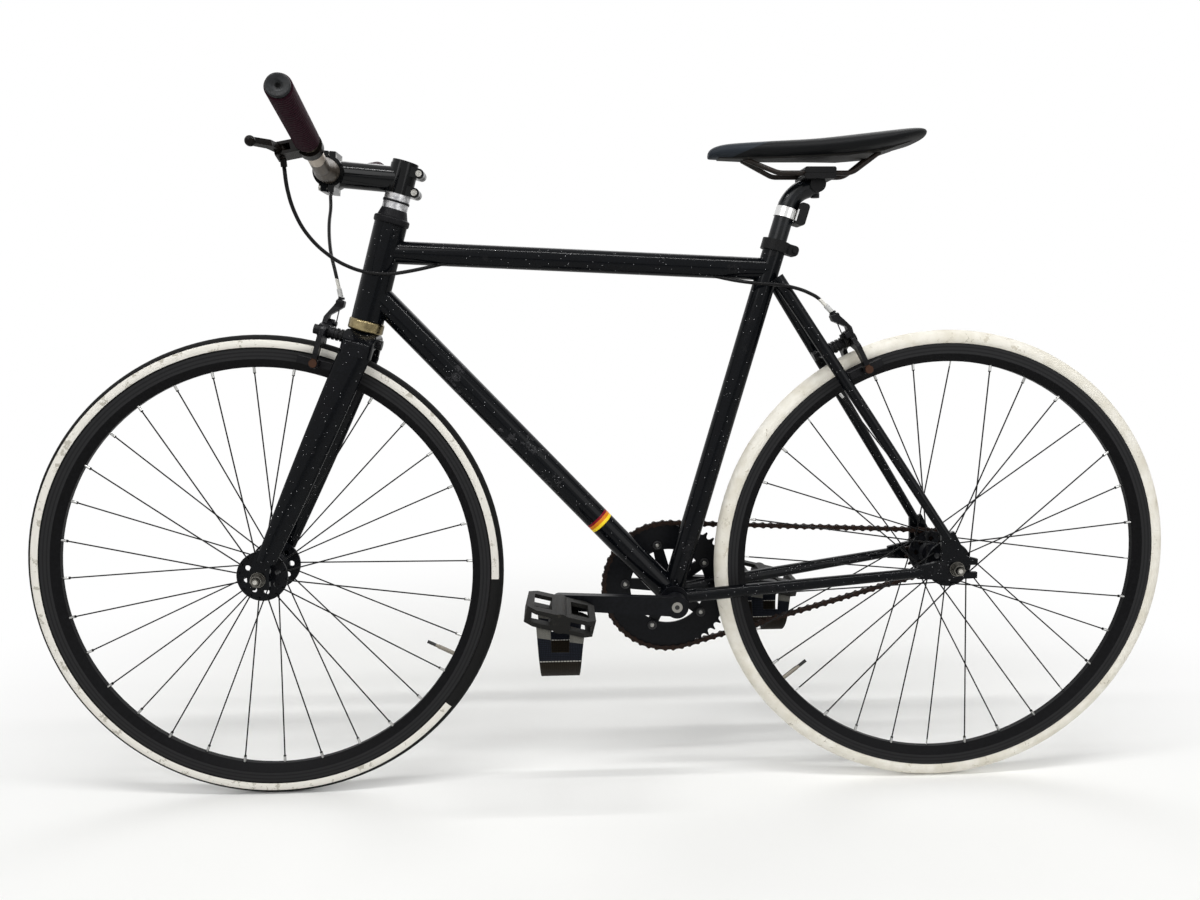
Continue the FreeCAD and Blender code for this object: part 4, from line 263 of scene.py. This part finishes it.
centres = {joint["name"]: Vector(joint["pos_m"]) for joint in frame["joints"] if joint["type"] == "hinge"}
bracket = centres["crank_spin"]
down_tube_line = Vector((0.68694, 0.0, 0.72672))
band_stripes = ((0.157, 0.1605, "#7c1220"), (0.152, 0.157, "#cf7a1e"), (0.1475, 0.152, "#efd02c"))
tube_enamel, shader, place = enamel("black_gloss_enamel_with_band")
height = along(tube_enamel, place, bracket, down_tube_line)
rubbed_run = (height, 0.23, 0.46)
wear(tube_enamel, shader, place, "#2c2c2e", 0.5, ((30.0, 0.57), (5.0, 0.5)), rubbed_run)
for low, high, colour in band_stripes:
    paint(tube_enamel, shader, colour, 0.35, (height, low, high))
dress(tube_enamel, "down_tube")

# Headset. A brass coloured lower cup, a black upper cup and tapered cover, and two turned
# aluminium rings with a thin black one between them, all pressed or stacked on the steerer.
brass, shader, place = finish("worn_brass", "#9a8a66", 0.3, 1.0)
mottle(brass, shader, place, 9.0, ("#6a5f45", "#9c8f6c"), (0.2, 0.36), 0.004)
dress(brass, "lower_headset_cup")
cover_black, shader, place = finish("matt_anodised_aluminium", "#0b0b0d", 0.5, Specular_IOR_Level=0.12)
mottle(cover_black, shader, place, 1.5, ("#08080a", "#101013"), (0.42, 0.6), 0.01)
dress(cover_black, "upper_headset_cup", "headset_cover")
turned, shader, place = finish("turned_aluminium", "#c4c4c6", 0.3, 1.0)
mottle(turned, shader, place, 6.0, ("#a2a2a5", "#dededf"), (0.2, 0.4), 0.01)
dress(turned, "headset_spacers")

# Stem. Forged aluminium under thick gloss black paint, which shows sharp lines of light. It
# clamps the steerer and the bar with zinc plated socket bolts, dull silver and a little spotted.
stem_black, shader, place = finish("gloss_black_stem_paint", "#050507", 0.14, Specular_IOR_Level=0.08,
                                   Coat_Weight=0.22, Coat_Roughness=0.04)
mottle(stem_black, shader, place, 6.0, ("#040506", "#08090b"), (0.12, 0.2), 0.003)
dress(stem_black, "stem")
zinc, shader, place = finish("zinc_plated_steel", "#9c9b97", 0.35, 1.0)
mottle(zinc, shader, place, 2.0, ("#7a7873", "#bab9b4"), (0.3, 0.5), 0.02)
dress(zinc, "stem_bolts")


# Handlebar. Drawn aluminium tube, bent and clamped in the stem, whose dark finish has gone
# bronze grey, with a paler ring beside each lever bracket.
def side_of(material, place):
    """Distance in metres from the middle plane."""
    parts = add(material, "ShaderNodeSeparateXYZ", {"Vector": place})
    return add(material, "ShaderNodeMath", {0: parts.outputs["Y"]}, operation="ABSOLUTE").outputs[0]


bar_metal, shader, place = finish("bronzed_aluminium", "#4a4239", 0.42, 0.6)
mottle(bar_metal, shader, place, 14.0, ("#332d26", "#5d544a"), (0.34, 0.52), 0.02)
pale_ring = (side_of(bar_metal, place), 0.092, 0.122)
paint(bar_metal, shader, "#a89d90", 0.4, pale_ring)
dress(bar_metal, "handlebar")

# Grips. Moulded burgundy rubber sleeves with fine rings for the hand, pushed over the bar
# ends, each closed by a dished black plastic plug with a small hole in its middle, painted
# near black round it as painted shade.
bar_bend = Vector((0.37834, 0.062, 0.89018))
grip_line = Vector((-0.04963, 0.97971, 0.19423))
grip_start = 0.093
grip_length = 0.150
grip_end = grip_start + grip_length
grip_radius = 0.0158
grip_end_radius = 0.0155
grip_bore = 0.0113
start_round = 0.0012
end_round = 0.0014
ring_pitch = 0.005
ring_depth = 0.0004
ring_half_width = 0.0006
plug_dish = 0.0015
plug_hole_shade_radius = 0.0034
plug_rim = ((-0.0015, 0.0), (-0.0015, 0.0022), (0.0019, 0.0024), (0.0022, 0.0070), (0.0038, 0.0112),
            (0.0040, 0.0124), (0.0036, 0.0134), (0.0025, 0.0138), (0.0001, 0.0138), (0.0001, 0.0))


def turned_shape(outline, closed, steps=56):
    """Round shape turned about local X from an outline of (along, radius) points."""
    shape = bmesh.new()
    corners = [shape.verts.new((reach, 0.0, radius)) for reach, radius in outline]
    edges = [shape.edges.new(pair) for pair in zip(corners, corners[1:])]
    if closed:
        edges.append(shape.edges.new((corners[-1], corners[0])))
    bmesh.ops.spin(shape, geom=corners + edges, cent=(0, 0, 0), axis=(1, 0, 0), dvec=(0, 0, 0),
                   angle=math.tau, steps=steps, use_merge=True)
    bmesh.ops.remove_doubles(shape, verts=shape.verts, dist=1e-6)
    bmesh.ops.recalc_face_normals(shape, faces=shape.faces)
    return shape


def stand_on(line, origin):
    """Matrix that lays local X along a line from an origin."""
    turn = Vector((1, 0, 0)).rotation_difference(line)
    return Matrix.Translation(origin) @ turn.to_matrix().to_4x4()


burgundy, shader, place = finish("burgundy_rubber", "#1e0811", 0.6, Specular_IOR_Level=0.05)
mottle(burgundy, shader, place, 2.0, ("#16050c", "#280c18"), (0.52, 0.7), 0.03)
plug_black, shader, place = finish("moulded_black_plastic", "#161718", 0.4, Specular_IOR_Level=0.18)
mottle(plug_black, shader, place, 2.5, ("#0c0d0e", "#232527"), (0.3, 0.5), 0.05)
# The plug's hole and a ring round it are painted near black: painted shade for the hole's depth.
for way in (1, -1):
    hole = (bar_bend + grip_line * (grip_end + plug_dish)) * Vector((1, way, 1))
    offset = add(plug_black, "ShaderNodeVectorMath", {0: place}, {1: hole}, operation="DISTANCE")
    paint(plug_black, shader, "#020202", 0.8, (offset.outputs["Value"], 0.0, plug_hole_shade_radius))
plug_outline = [(grip_end + reach, radius) for reach, radius in plug_rim]
grip_outline = [(grip_start, grip_bore), (grip_start, grip_radius - start_round),
                (grip_start + start_round, grip_radius)]
for ring in range(1, int(grip_length / ring_pitch)):
    share = ring * ring_pitch / grip_length
    reach = grip_start + ring * ring_pitch
    swell = grip_radius + (grip_end_radius - grip_radius) * share
    grip_outline += [(reach - ring_half_width, swell), (reach, swell - ring_depth),
                     (reach + ring_half_width, swell)]
grip_outline += [(grip_end - end_round, grip_end_radius), (grip_end, grip_end_radius - end_round),
                 (grip_end, grip_bore)]
for side, way in (("left", 1), ("right", -1)):
    hand = Vector((1, way, 1))
    onto_bar = stand_on(grip_line * hand, bar_bend * hand)
    for name, outline, closed, material, slot in (
            ("_grip", grip_outline, True, burgundy, "grip_rubber"),
            ("_bar_plug", plug_outline, False, plug_black, "black_plastic")):
        shape = turned_shape(outline, closed)
        bmesh.ops.transform(shape, matrix=onto_bar, verts=shape.verts)
        piece = new_piece(side + name, shape)
        piece.data.materials.append(material)
        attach(piece, "steering")
        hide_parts("grips")

# Brake levers and brackets. Cast aluminium with a smooth brown-black coating that has rubbed
# thin on the edges; the blade turns on a pin through the bracket.
lever_black, shader, place = finish("coated_cast_aluminium", "#0b0909", 0.26, Specular_IOR_Level=0.08)
mottle(lever_black, shader, place, 5.0, ("#070606", "#15110e"), (0.2, 0.36), 0.02)
wear(lever_black, shader, place, "#3c332c", 0.4, ((5.0, 0.68),))
dress(lever_black, "lever_brackets", "left_brake_lever", "right_brake_lever")

# Brake calipers. The arms are black castings on a centre bolt; the pads are grey rubber held
# by rusted button bolts, and the barrel for the cable is bare aluminium.
axles = {"front": centres["front_wheel_spin"], "rear": centres["rear_wheel_spin"]}


def radius_about(material, place, centre):
    """Distance in metres from an axle across the bicycle, seen from the side."""
    offset = add(material, "ShaderNodeVectorMath", {0: place}, {1: centre}, operation="SUBTRACT")
    flat = add(material, "ShaderNodeVectorMath", {0: offset.outputs[0]}, {1: (1.0, 0.0, 1.0)},
               operation="MULTIPLY")
    return add(material, "ShaderNodeVectorMath", {0: flat.outputs[0]}, operation="LENGTH").outputs["Value"]


for end, centre in axles.items():
    arm_black, shader, place = finish("black_brake_casting_" + end, "#09090b", 0.3, Specular_IOR_Level=0.14)
    mottle(arm_black, shader, place, 3.0, ("#060608", "#101013"), (0.28, 0.46), 0.02)
    radius = radius_about(arm_black, place, centre)
    side = side_of(arm_black, place)
    beside_rim = (radius, 0.28, 0.3145)
    pad_depth = (side, 0.0, 0.0221)
    bolt_depth = (side, 0.0352, 0.05)
    barrel = (radius, 0.4035, 0.45)
    paint(arm_black, shader, "#343436", 0.85, beside_rim, pad_depth)
    paint(arm_black, shader, "#3f2a1f", 0.5, beside_rim, bolt_depth, metallic=0.4)
    paint(arm_black, shader, "#b9b9b7", 0.35, barrel)
    dress(arm_black, end + "_left_brake_arm", end + "_right_brake_arm")
bolt_black, shader, place = finish("blackened_brake_steel", "#161617", 0.32, 0.5, Specular_IOR_Level=0.2)
mottle(bolt_black, shader, place, 2.0, ("#0d0d0e", "#262627"), (0.25, 0.45), 0.02)
dress(bolt_black, "front_brake_bolt", "rear_brake_bolt")

# Cables. Spiral steel housing in a smooth black vinyl sheath, with a bright ferrule where it
# seats in the barrel of a caliper. The lead from the left lever into the top tube flexes as the
# bar turns; its wall is cut into short lengths, but the piece stays fixed where it is placed.
sheath, shader, place = finish("black_vinyl", "#080809", 0.36, Specular_IOR_Level=0.14)
mottle(sheath, shader, place, 1.5, ("#060607", "#0d0d0e"), (0.3, 0.45), 0.01)
for end, centre in axles.items():
    ferrule = (radius_about(sheath, place, centre), 0.40, 0.427)
    paint(sheath, shader, "#cfcdc6", 0.4, ferrule)
dress(sheath, "rear_brake_cable", "front_brake_cable")
lead_lengths = 30
tube_end, lever_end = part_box("rear_brake_lead")
shape = bmesh.new()
shape.from_mesh(nodes["rear_brake_lead"].data)
bmesh.ops.remove_doubles(shape, verts=shape.verts[:], dist=1e-6)
for length in range(1, lead_lengths):
    bmesh.ops.bisect_plane(shape, geom=shape.verts[:] + shape.edges[:] + shape.faces[:],
                           plane_co=lever_end.lerp(tube_end, length / lead_lengths),
                           plane_no=tube_end - lever_end)
lead = new_piece("rear_brake_lead_housing", shape)
lead.data.materials.append(sheath)
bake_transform(lead)
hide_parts("rear_brake_lead")

# Rims. Extruded aluminium anodised black, joined into a hoop, with a brake track on each side
# that the pads have rubbed grey in fine circles. The circles are drawn coarse enough to show.
circle_pitch = 0.0026
circle_width = 0.0009
for end, centre in axles.items():
    rim_black, shader, place = finish("anodised_rim_aluminium_" + end, "#090909", 0.42,
                                      Specular_IOR_Level=0.07)
    mottle(rim_black, shader, place, 5.0, ("#080809", "#0f0f11"), (0.36, 0.5), 0.01)
    radius = radius_about(rim_black, place, centre)
    brake_track = (radius, 0.3025, 0.3166)
    outer_wall = (side_of(rim_black, place), 0.0105, 0.02)
    circles = add(rim_black, "ShaderNodeMath", {0: radius}, {1: circle_pitch}, operation="PINGPONG")
    paint(rim_black, shader, "#262627", 0.38, brake_track, outer_wall)
    paint(rim_black, shader, "#1c1c1d", 0.45, brake_track, outer_wall,
          (circles.outputs[0], 0.0, circle_width))
    dress(rim_black, end + "_rim")

# Tyres. The front one is black rubber with a white stripe moulded round each wall, which stops
# at a plain black panel; the rear one is white rubber, yellowed, dirty and finely cracked.
panel_middle = math.radians(201.0)
panel_half = math.radians(18.0)
crack_spacing = 14.0
crack_width = 0.022
black_rubber, shader, place = finish("black_tyre_rubber", "#0f0f0f", 0.75, Specular_IOR_Level=0.12)
mottle(black_rubber, shader, place, 2.0, ("#0b0b0b", "#151515"), (0.65, 0.85), 0.04)
radius = radius_about(black_rubber, place, axles["front"])
stripe = (radius, 0.3188, 0.3292)
paint(black_rubber, shader, "#dddad2", 0.7, stripe)
wear(black_rubber, shader, place, "#b3afa4", 0.75, ((16.0, 0.58),), stripe)
panel_way = Vector((math.cos(panel_middle), 0.0, math.sin(panel_middle)))
panel = along(black_rubber, place, axles["front"], panel_way)
nearness = add(black_rubber, "ShaderNodeMath", {0: panel, 1: radius}, operation="DIVIDE").outputs[0]
paint(black_rubber, shader, "#141414", 0.75, stripe, (nearness, math.cos(panel_half), 1.1))
dress(black_rubber, "front_tyre")
white_rubber, shader, place = finish("white_tyre_rubber", "#dedad0", 0.7, Specular_IOR_Level=0.3)
mottle(white_rubber, shader, place, 30.0, ("#d2cdbf", "#e6e3da"), (0.62, 0.8), 0.05)
wear(white_rubber, shader, place, "#c6c0b1", 0.8, ((25.0, 0.62),))
cracks = add(white_rubber, "ShaderNodeTexVoronoi", {"Vector": place}, {"Scale": 1000.0 / crack_spacing},
             feature="DISTANCE_TO_EDGE").outputs["Distance"]
wear(white_rubber, shader, place, "#a9a294", 0.85, ((22.0, 0.6),), (cracks, 0.0, crack_width))
dress(white_rubber, "rear_tyre")

# Inner tubes. Black butyl inside the tyres, of which only the valve shows: a thin nickel plated
# stem through the rim, gone dull, with a black plastic cap on its end.
for end, centre in axles.items():
    valve_nickel, shader, place = finish("valve_nickel_" + end, "#7d786e", 0.4, 0.6)
    mottle(valve_nickel, shader, place, 1.0, ("#68645b", "#968f84"), (0.35, 0.5), 0.02)
    cap = (radius_about(valve_nickel, place, centre), 0.2, 0.262)
    paint(valve_nickel, shader, "#101010", 0.6, cap, metallic=0.0)
    dress(valve_nickel, end + "_inner_tube")

# Spokes. Black steel wire laced from hub to rim, straight out in front and crossed behind, and
# drawn tight by plated nipples that show as bright dots along the rim.
for end, centre in axles.items():
    wire, shader, place = finish("black_spoke_wire_" + end, "#09090a", 0.4, Specular_IOR_Level=0.12)
    mottle(wire, shader, place, 6.0, ("#070708", "#0e0e0f"), (0.3, 0.45), 0.01)
    nipple = (radius_about(wire, place, centre), 0.2835, 0.3)
    paint(wire, shader, "#b4b4b2", 0.3, nipple, metallic=0.9)
    dress(wire, end + "_spokes")

# Hubs, cranks and chainring. Forged and turned aluminium, anodised black with a blue tinge,
# which shows a soft broad sheen. The axles and the crank bolts are steel, bright at their ends,
# with painted shade as dark rings round the threads and the nut edges and in the bolt sockets.
anodised, shader, place = finish("satin_anodised_aluminium", "#0a0b0e", 0.34, Specular_IOR_Level=0.1)
mottle(anodised, shader, place, 4.0, ("#07080a", "#0f1014"), (0.3, 0.44), 0.01)
dress(anodised, "front_hub", "rear_hub", "crank_arms", "chainring", "bottom_bracket_cups")
for end, centre in axles.items():
    axle_steel, shader, place = finish("axle_steel_" + end, "#6a6863", 0.35, 1.0)
    mottle(axle_steel, shader, place, 2.0, ("#4d4b47", "#83817b"), (0.3, 0.5), 0.02)
    radius = radius_about(axle_steel, place, centre)
    # The dark rings round the threads and at the nut's edge are painted shade.
    thread_shade_ring = (radius, 0.0048, 0.0063)
    nut_shade_ring = (radius, 0.0087, 0.0096)
    axle_middle = (radius, 0.0, 0.0030)
    paint(axle_steel, shader, "#2b2a28", 0.45, thread_shade_ring)
    paint(axle_steel, shader, "#1b1a19", 0.5, nut_shade_ring)
    paint(axle_steel, shader, "#b9b7b1", 0.3, axle_middle)
    dress(axle_steel, end + "_axle")
ring_bolt_black, shader, place = finish("blackened_bolt_steel", "#1a1a1b", 0.35, 0.4)
mottle(ring_bolt_black, shader, place, 2.0, ("#121213", "#2a2a2b"), (0.3, 0.5), 0.02)
radius = radius_about(ring_bolt_black, place, bracket)
crank_bolt = (radius, 0.0, 0.0078)
# The socket in the crank bolt is painted near black: painted shade in its recess.
crank_bolt_socket_shade = (radius, 0.0, 0.0034)
paint(ring_bolt_black, shader, "#8d8b86", 0.35, crank_bolt, metallic=0.9)
paint(ring_bolt_black, shader, "#141414", 0.5, crank_bolt_socket_shade, metallic=0.2)
dress(ring_bolt_black, "crank_spindle")

# Chainring bolts. Black steel cap nuts with a raised rim round a bright socket, five of them
# in a circle through the ring and the spider, evenly to both sides of the right crank.
bolt_circle = 0.065
bolt_count = 5
ring_face = -0.0419
bolt_steps = 20
bolt_rim = ((0.0, 0.0036), (0.0, 0.0066), (0.0008, 0.0068), (0.0012, 0.0060), (0.0012, 0.0042),
            (0.0006, 0.0036))
bolt_core = ((0.0, 0.0034), (0.0004, 0.0034), (0.0006, 0.0020), (0.0003, 0.0), (0.0, 0.0))
bright, shader, place = finish("bright_zinc_steel", "#8f8e8a", 0.35, 1.0)
mottle(bright, shader, place, 1.0, ("#6d6c68", "#b5b4b0"), (0.24, 0.4), 0.01)
left_crank = centres["left_pedal_spin"] - bracket
first_bolt = math.atan2(left_crank.z, left_crank.x) + math.pi + math.pi / bolt_count
for name, outline, closed, material, slot in (
        ("chainring_bolt_rims", bolt_rim, True, ring_bolt_black, "black_steel"),
        ("chainring_bolt_cores", bolt_core, False, bright, "steel")):
    shape = bmesh.new()
    for number in range(bolt_count):
        turn = first_bolt + math.tau * number / bolt_count
        spot = bracket + Vector((math.cos(turn) * bolt_circle, ring_face, math.sin(turn) * bolt_circle))
        one = turned_shape(outline, closed, bolt_steps)
        bmesh.ops.transform(one, matrix=stand_on(Vector((0, 1, 0)), spot), verts=one.verts)
        mesh = bpy.data.meshes.new("bolt")
        one.to_mesh(mesh)
        one.free()
        shape.from_mesh(mesh)
        bpy.data.meshes.remove(mesh)
    piece = new_piece(name, shape)
    piece.data.materials.append(material)
    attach(piece, "crank")

# Chain and cog. Plain steel links, pressed from sheet and riveted, on a steel sprocket screwed
# to the rear hub; both have rusted brown under old oil, dull and uneven.
rust, shader, place = finish("oily_rusted_steel", "#1d1511", 0.55, 0.3, Specular_IOR_Level=0.2)
mottle(rust, shader, place, 4.0, ("#0e0b0a", "#2e1d14"), (0.45, 0.75), 0.05)
dress(rust, "chain", "rear_cog")

# Pedals. Black nylon cages moulded with a fine grain, greyed by shoes on their upper plates,
# that turn on zinc plated steel spindles screwed into the cranks.
nylon, shader, place = finish("moulded_black_nylon", "#121110", 0.6, Specular_IOR_Level=0.14)
mottle(nylon, shader, place, 2.0, ("#0d0d0c", "#1a1917"), (0.5, 0.7), 0.08)
wear(nylon, shader, place, "#282622", 0.7, ((9.0, 0.6),))
dress(nylon, "left_pedal", "right_pedal")
dress(zinc, "pedal_spindles")

# Foot straps. A band of navy webbing under each pedal, sewn with pale thread, whose lower
# half is a black mesh; at the top of each wall it divides into two tabs that hold the pedal.
# The threads are drawn about twice as coarse as they are, so that they show.
strap_reach = (0.077, 0.165)
strap_fall = 0.0418
strap_depth = 0.0825
strap_width = (0.062, 0.050)
strap_thickness = 0.0026
wall_top = -0.0116
notch_depth = 0.028
notch_half_width = 0.2
top_slope = math.tan(math.radians(14.0))
slope_fade = 0.03
thread_pitch = 2.4
thread_relief = 0.0006
mesh_pitch = 3.0
mesh_hole = 0.32
mesh_hem = 0.0015
mesh_edge = 0.0560
stitch_pitch = 0.0022
stitch_gap = 0.0006
stitch_width = 0.0012
tab_start = 0.0845
tab_end = 0.2
strap_middle = sum(strap_reach) / 2
half_span = strap_middle - strap_reach[0]
sag = strap_depth - strap_fall
hoop = (half_span ** 2 + sag ** 2) / (2 * sag)
arc_length = hoop * math.asin(half_span / hoop)
half_run = arc_length + strap_fall + wall_top

webbing, shader, place = finish("navy_webbing", "#12151d", 0.9, Specular_IOR_Level=0.08, Sheen_Weight=0.04)
cloth = add(webbing, "ShaderNodeUVMap", uv_map="strap").outputs["UV"]
parts = add(webbing, "ShaderNodeSeparateXYZ", {"Vector": cloth})
threads = [add(webbing, "ShaderNodeTexWave", {"Vector": cloth},
               {"Scale": 1000.0 / thread_pitch / math.tau * 2, "Distortion": 0.4},
               bands_direction=way).outputs["Fac"] for way in ("X", "Y")]
weave = add(webbing, "ShaderNodeMath", dict(enumerate(threads)), operation="MULTIPLY").outputs[0]
shade = add(webbing, "ShaderNodeValToRGB", {"Fac": weave})
for element, colour in zip(shade.color_ramp.elements, ("#0b0d12", "#1f232d")):
    element.color = srgb(colour)
bump = add(webbing, "ShaderNodeBump", {"Height": weave}, {"Strength": 0.8, "Distance": thread_relief})
webbing.node_tree.links.new(shade.outputs["Color"], shader.inputs["Base Color"])
webbing.node_tree.links.new(bump.outputs["Normal"], shader.inputs["Normal"])
run = add(webbing, "ShaderNodeMath", {0: parts.outputs["Y"]}, operation="ABSOLUTE").outputs[0]
holes = add(webbing, "ShaderNodeTexVoronoi", {"Vector": cloth},
            {"Scale": 1000.0 / mesh_pitch, "Randomness": 0.0})
stitch = add(webbing, "ShaderNodeMath", {0: parts.outputs["X"]}, {1: stitch_pitch}, operation="PINGPONG")
paint(webbing, shader, "#1d1810", 0.95, (run, 0.0, mesh_edge))
paint(webbing, shader, "#0a0907", 0.95, (run, 0.0, mesh_edge - mesh_hem),
      (holes.outputs["Distance"], 0.0, mesh_hole))
paint(webbing, shader, "#b9b8b2", 0.8, (run, mesh_edge, mesh_edge + stitch_width),
      (stitch.outputs[0], stitch_gap, stitch_pitch))
paint(webbing, shader, "#5f5e59", 0.9, (run, tab_start, tab_end))
for side, way in (("left", 1), ("right", -1)):
    spindle = centres[side + "_pedal_spin"] * Vector((1, 0, 1))
    shape = bmesh.new()
    bmesh.ops.create_grid(shape, x_segments=10, y_segments=48, size=0.5)
    uv_layer = shape.loops.layers.uv.new("strap")
    middles = {face: face.calc_center_median() for face in shape.faces}
    notches = [face for face, spot in middles.items() if abs(spot.x) < notch_half_width
               and abs(spot.y) * 2 * half_run > half_run - notch_depth]
    bmesh.ops.delete(shape, geom=notches, context="FACES")
    for face in shape.faces:
        for loop in face.loops:
            spot = loop.vert.co
            loop[uv_layer].uv = (spot.x * strap_width[0], spot.y * 2 * half_run)
    for vert in shape.verts:
        reached = abs(vert.co.y) * 2 * half_run
        out = 1 if vert.co.y > 0 else -1
        if reached < arc_length:
            turn = reached / hoop
            reach = math.sin(turn) * hoop
            up = hoop * (1 - math.cos(turn)) - strap_depth
        else:
            reach = half_span
            up = reached - arc_length - strap_fall
        narrow = min(1.0, (wall_top - up) / (wall_top + strap_depth))
        ahead = vert.co.x * (strap_width[0] + (strap_width[1] - strap_width[0]) * narrow)
        lift = max(0.0, 1.0 - (wall_top - up) / slope_fade) * ahead * top_slope
        vert.co = spindle + Vector((ahead, way * (strap_middle + out * reach), up + lift))
    bmesh.ops.recalc_face_normals(shape, faces=shape.faces)
    strap = new_piece(side + "_foot_strap_webbing", shape)
    strap.data.materials.append(webbing)
    wall = strap.modifiers.new("thickness", "SOLIDIFY")
    wall.thickness = strap_thickness
    wall.offset = 0.0
    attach(strap, side + "_pedal_set")
    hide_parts(side + "_foot_strap")

# Seatpost. Aluminium tube bent back under the saddle and anodised gloss black, with a bright
# line along it. Matt cast collars hold it in the frame and the saddle's rails on its top.
post_black, shader, place = finish("gloss_anodised_aluminium", "#090b0e", 0.22, Specular_IOR_Level=0.22)
mottle(post_black, shader, place, 8.0, ("#060809", "#0f1216"), (0.18, 0.3), 0.008)
dress(post_black, "seatpost")
clamp_black, shader, place = finish("matt_cast_aluminium", "#0a0a0b", 0.48, Specular_IOR_Level=0.13)
mottle(clamp_black, shader, place, 3.0, ("#070708", "#101011"), (0.42, 0.6), 0.02)
dress(clamp_black, "seat_clamp", "saddle_clamp")

# Reflector bracket. A bright steel band round the post, with a black plastic block behind it
# whose rear face is a dull lens.
seat_line = Vector((-0.27899, 0.0, 0.96029))
seat_ahead = Vector((0.96029, 0.0, 0.27899))
bracket_plastic, shader, place = finish("black_bracket_plastic", "#0c0c0d", 0.48, Specular_IOR_Level=0.14)
mottle(bracket_plastic, shader, place, 3.0, ("#090909", "#141415"), (0.42, 0.6), 0.03)
ahead = along(bracket_plastic, place, bracket, seat_ahead)
band_height = (along(bracket_plastic, place, bracket, seat_line), 0.562, 0.5781)
band_depth = (ahead, -0.0154, 0.02)
lens_depth = (ahead, -0.05, -0.0284)
paint(bracket_plastic, shader, "#d9d9d8", 0.25, band_height, band_depth, metallic=1.0)
paint(bracket_plastic, shader, "#5c4c40", 0.3, lens_depth)
dress(bracket_plastic, "reflector_bracket")

# Saddle base and rails. A moulded black nylon shell, and steel rod bent under it, sprung into
# sockets at both ends, its black paint worn brown where it was clamped.
dress(nylon, "saddle_base")
rail_paint, shader, place = finish("worn_rail_paint", "#110d0b", 0.4, Specular_IOR_Level=0.2)
mottle(rail_paint, shader, place, 6.0, ("#0b0908", "#20160f"), (0.34, 0.52), 0.02)
dress(rail_paint, "saddle_rails")

# Saddle cover. Thin foam under black synthetic leather, pulled round the base and glued, with a
# grey-blue panel sewn over the nose and a flat welt along its curved seam. Each station is its
# share of the length, its share of the half width, and its lowest and highest point.
saddle_nose = -0.1392
saddle_length = 0.296
saddle_half_width = 0.068
rail_height = 0.8882
saddle_stations = ((0.002, 0.10, 0.0220, 0.0290), (0.010, 0.19, 0.0214, 0.0345),
                   (0.05, 0.265, 0.0212, 0.0398), (0.11, 0.31, 0.0208, 0.0422),
                   (0.20, 0.345, 0.0206, 0.0438), (0.31, 0.40, 0.0206, 0.0456),
                   (0.40, 0.46, 0.0210, 0.0466), (0.48, 0.53, 0.0216, 0.0476),
                   (0.56, 0.64, 0.0222, 0.0492), (0.64, 0.765, 0.0222, 0.0514),
                   (0.72, 0.875, 0.0245, 0.0535), (0.80, 0.965, 0.0275, 0.0556),
                   (0.87, 1.0, 0.0335, 0.0574), (0.93, 0.97, 0.0390, 0.0586),
                   (0.97, 0.86, 0.0418, 0.0588), (0.992, 0.66, 0.0442, 0.0576),
                   (0.999, 0.45, 0.0466, 0.0556))
shoulder_share = 0.45
side_fullness = 0.85
crown_fullness = 0.9
skirt_fullness = 0.55
skirt_tuck = 0.2
seam_place = Vector((-0.165, 0.0, 0.9075))
seam_way = Vector((0.371, 0.0, 0.928))
welt_width = 0.0012
shape = bmesh.new()
loops = []
for share, width, low, high in saddle_stations:
    ring = bmesh.ops.create_circle(shape, segments=32, radius=1.0)["verts"]
    shoulder = low + (high - low) * shoulder_share
    for vert in ring:
        side, lift = vert.co.x, vert.co.y
        out = math.copysign(abs(side) ** side_fullness, side) * saddle_half_width * width
        if lift >= 0:
            up = shoulder + (high - shoulder) * lift ** crown_fullness
        else:
            up = shoulder - (shoulder - low) * min(1.0, (-lift) ** skirt_fullness * 1.02)
            out *= 1 - skirt_tuck * (-lift) ** 0.8
        vert.co = Vector((saddle_nose - saddle_length * share, out, rail_height + up))
    loops.append(list({edge for vert in ring for edge in vert.link_edges}))
for first, second in zip(loops, loops[1:]):
    bmesh.ops.bridge_loops(shape, edges=first + second)
for loop in (loops[0], loops[-1]):
    bmesh.ops.contextual_create(shape, geom=loop)
bmesh.ops.recalc_face_normals(shape, faces=shape.faces)
saddle = new_piece("saddle_top", shape)
smooth = saddle.modifiers.new("smooth", "SUBSURF")
smooth.levels = 2
smooth.render_levels = 2
leather, shader, place = finish("synthetic_leather", "#0a0b0c", 0.5, Specular_IOR_Level=0.12)
mottle(leather, shader, place, 1.6, ("#070809", "#0e0f11"), (0.45, 0.62), 0.05)
seam = along(leather, place, seam_place, seam_way)
paint(leather, shader, "#1f242a", 0.55, (seam, 0.0, 0.2))
paint(leather, shader, "#08090a", 0.6, (seam, -welt_width, 0.0))
paint(leather, shader, "#c9c7c2", 0.6, (specks(leather, place, 34.0, 2.2), 0.9, 1.1))
saddle.data.materials.append(leather)
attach(saddle, "seat")
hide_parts("saddle_cover")
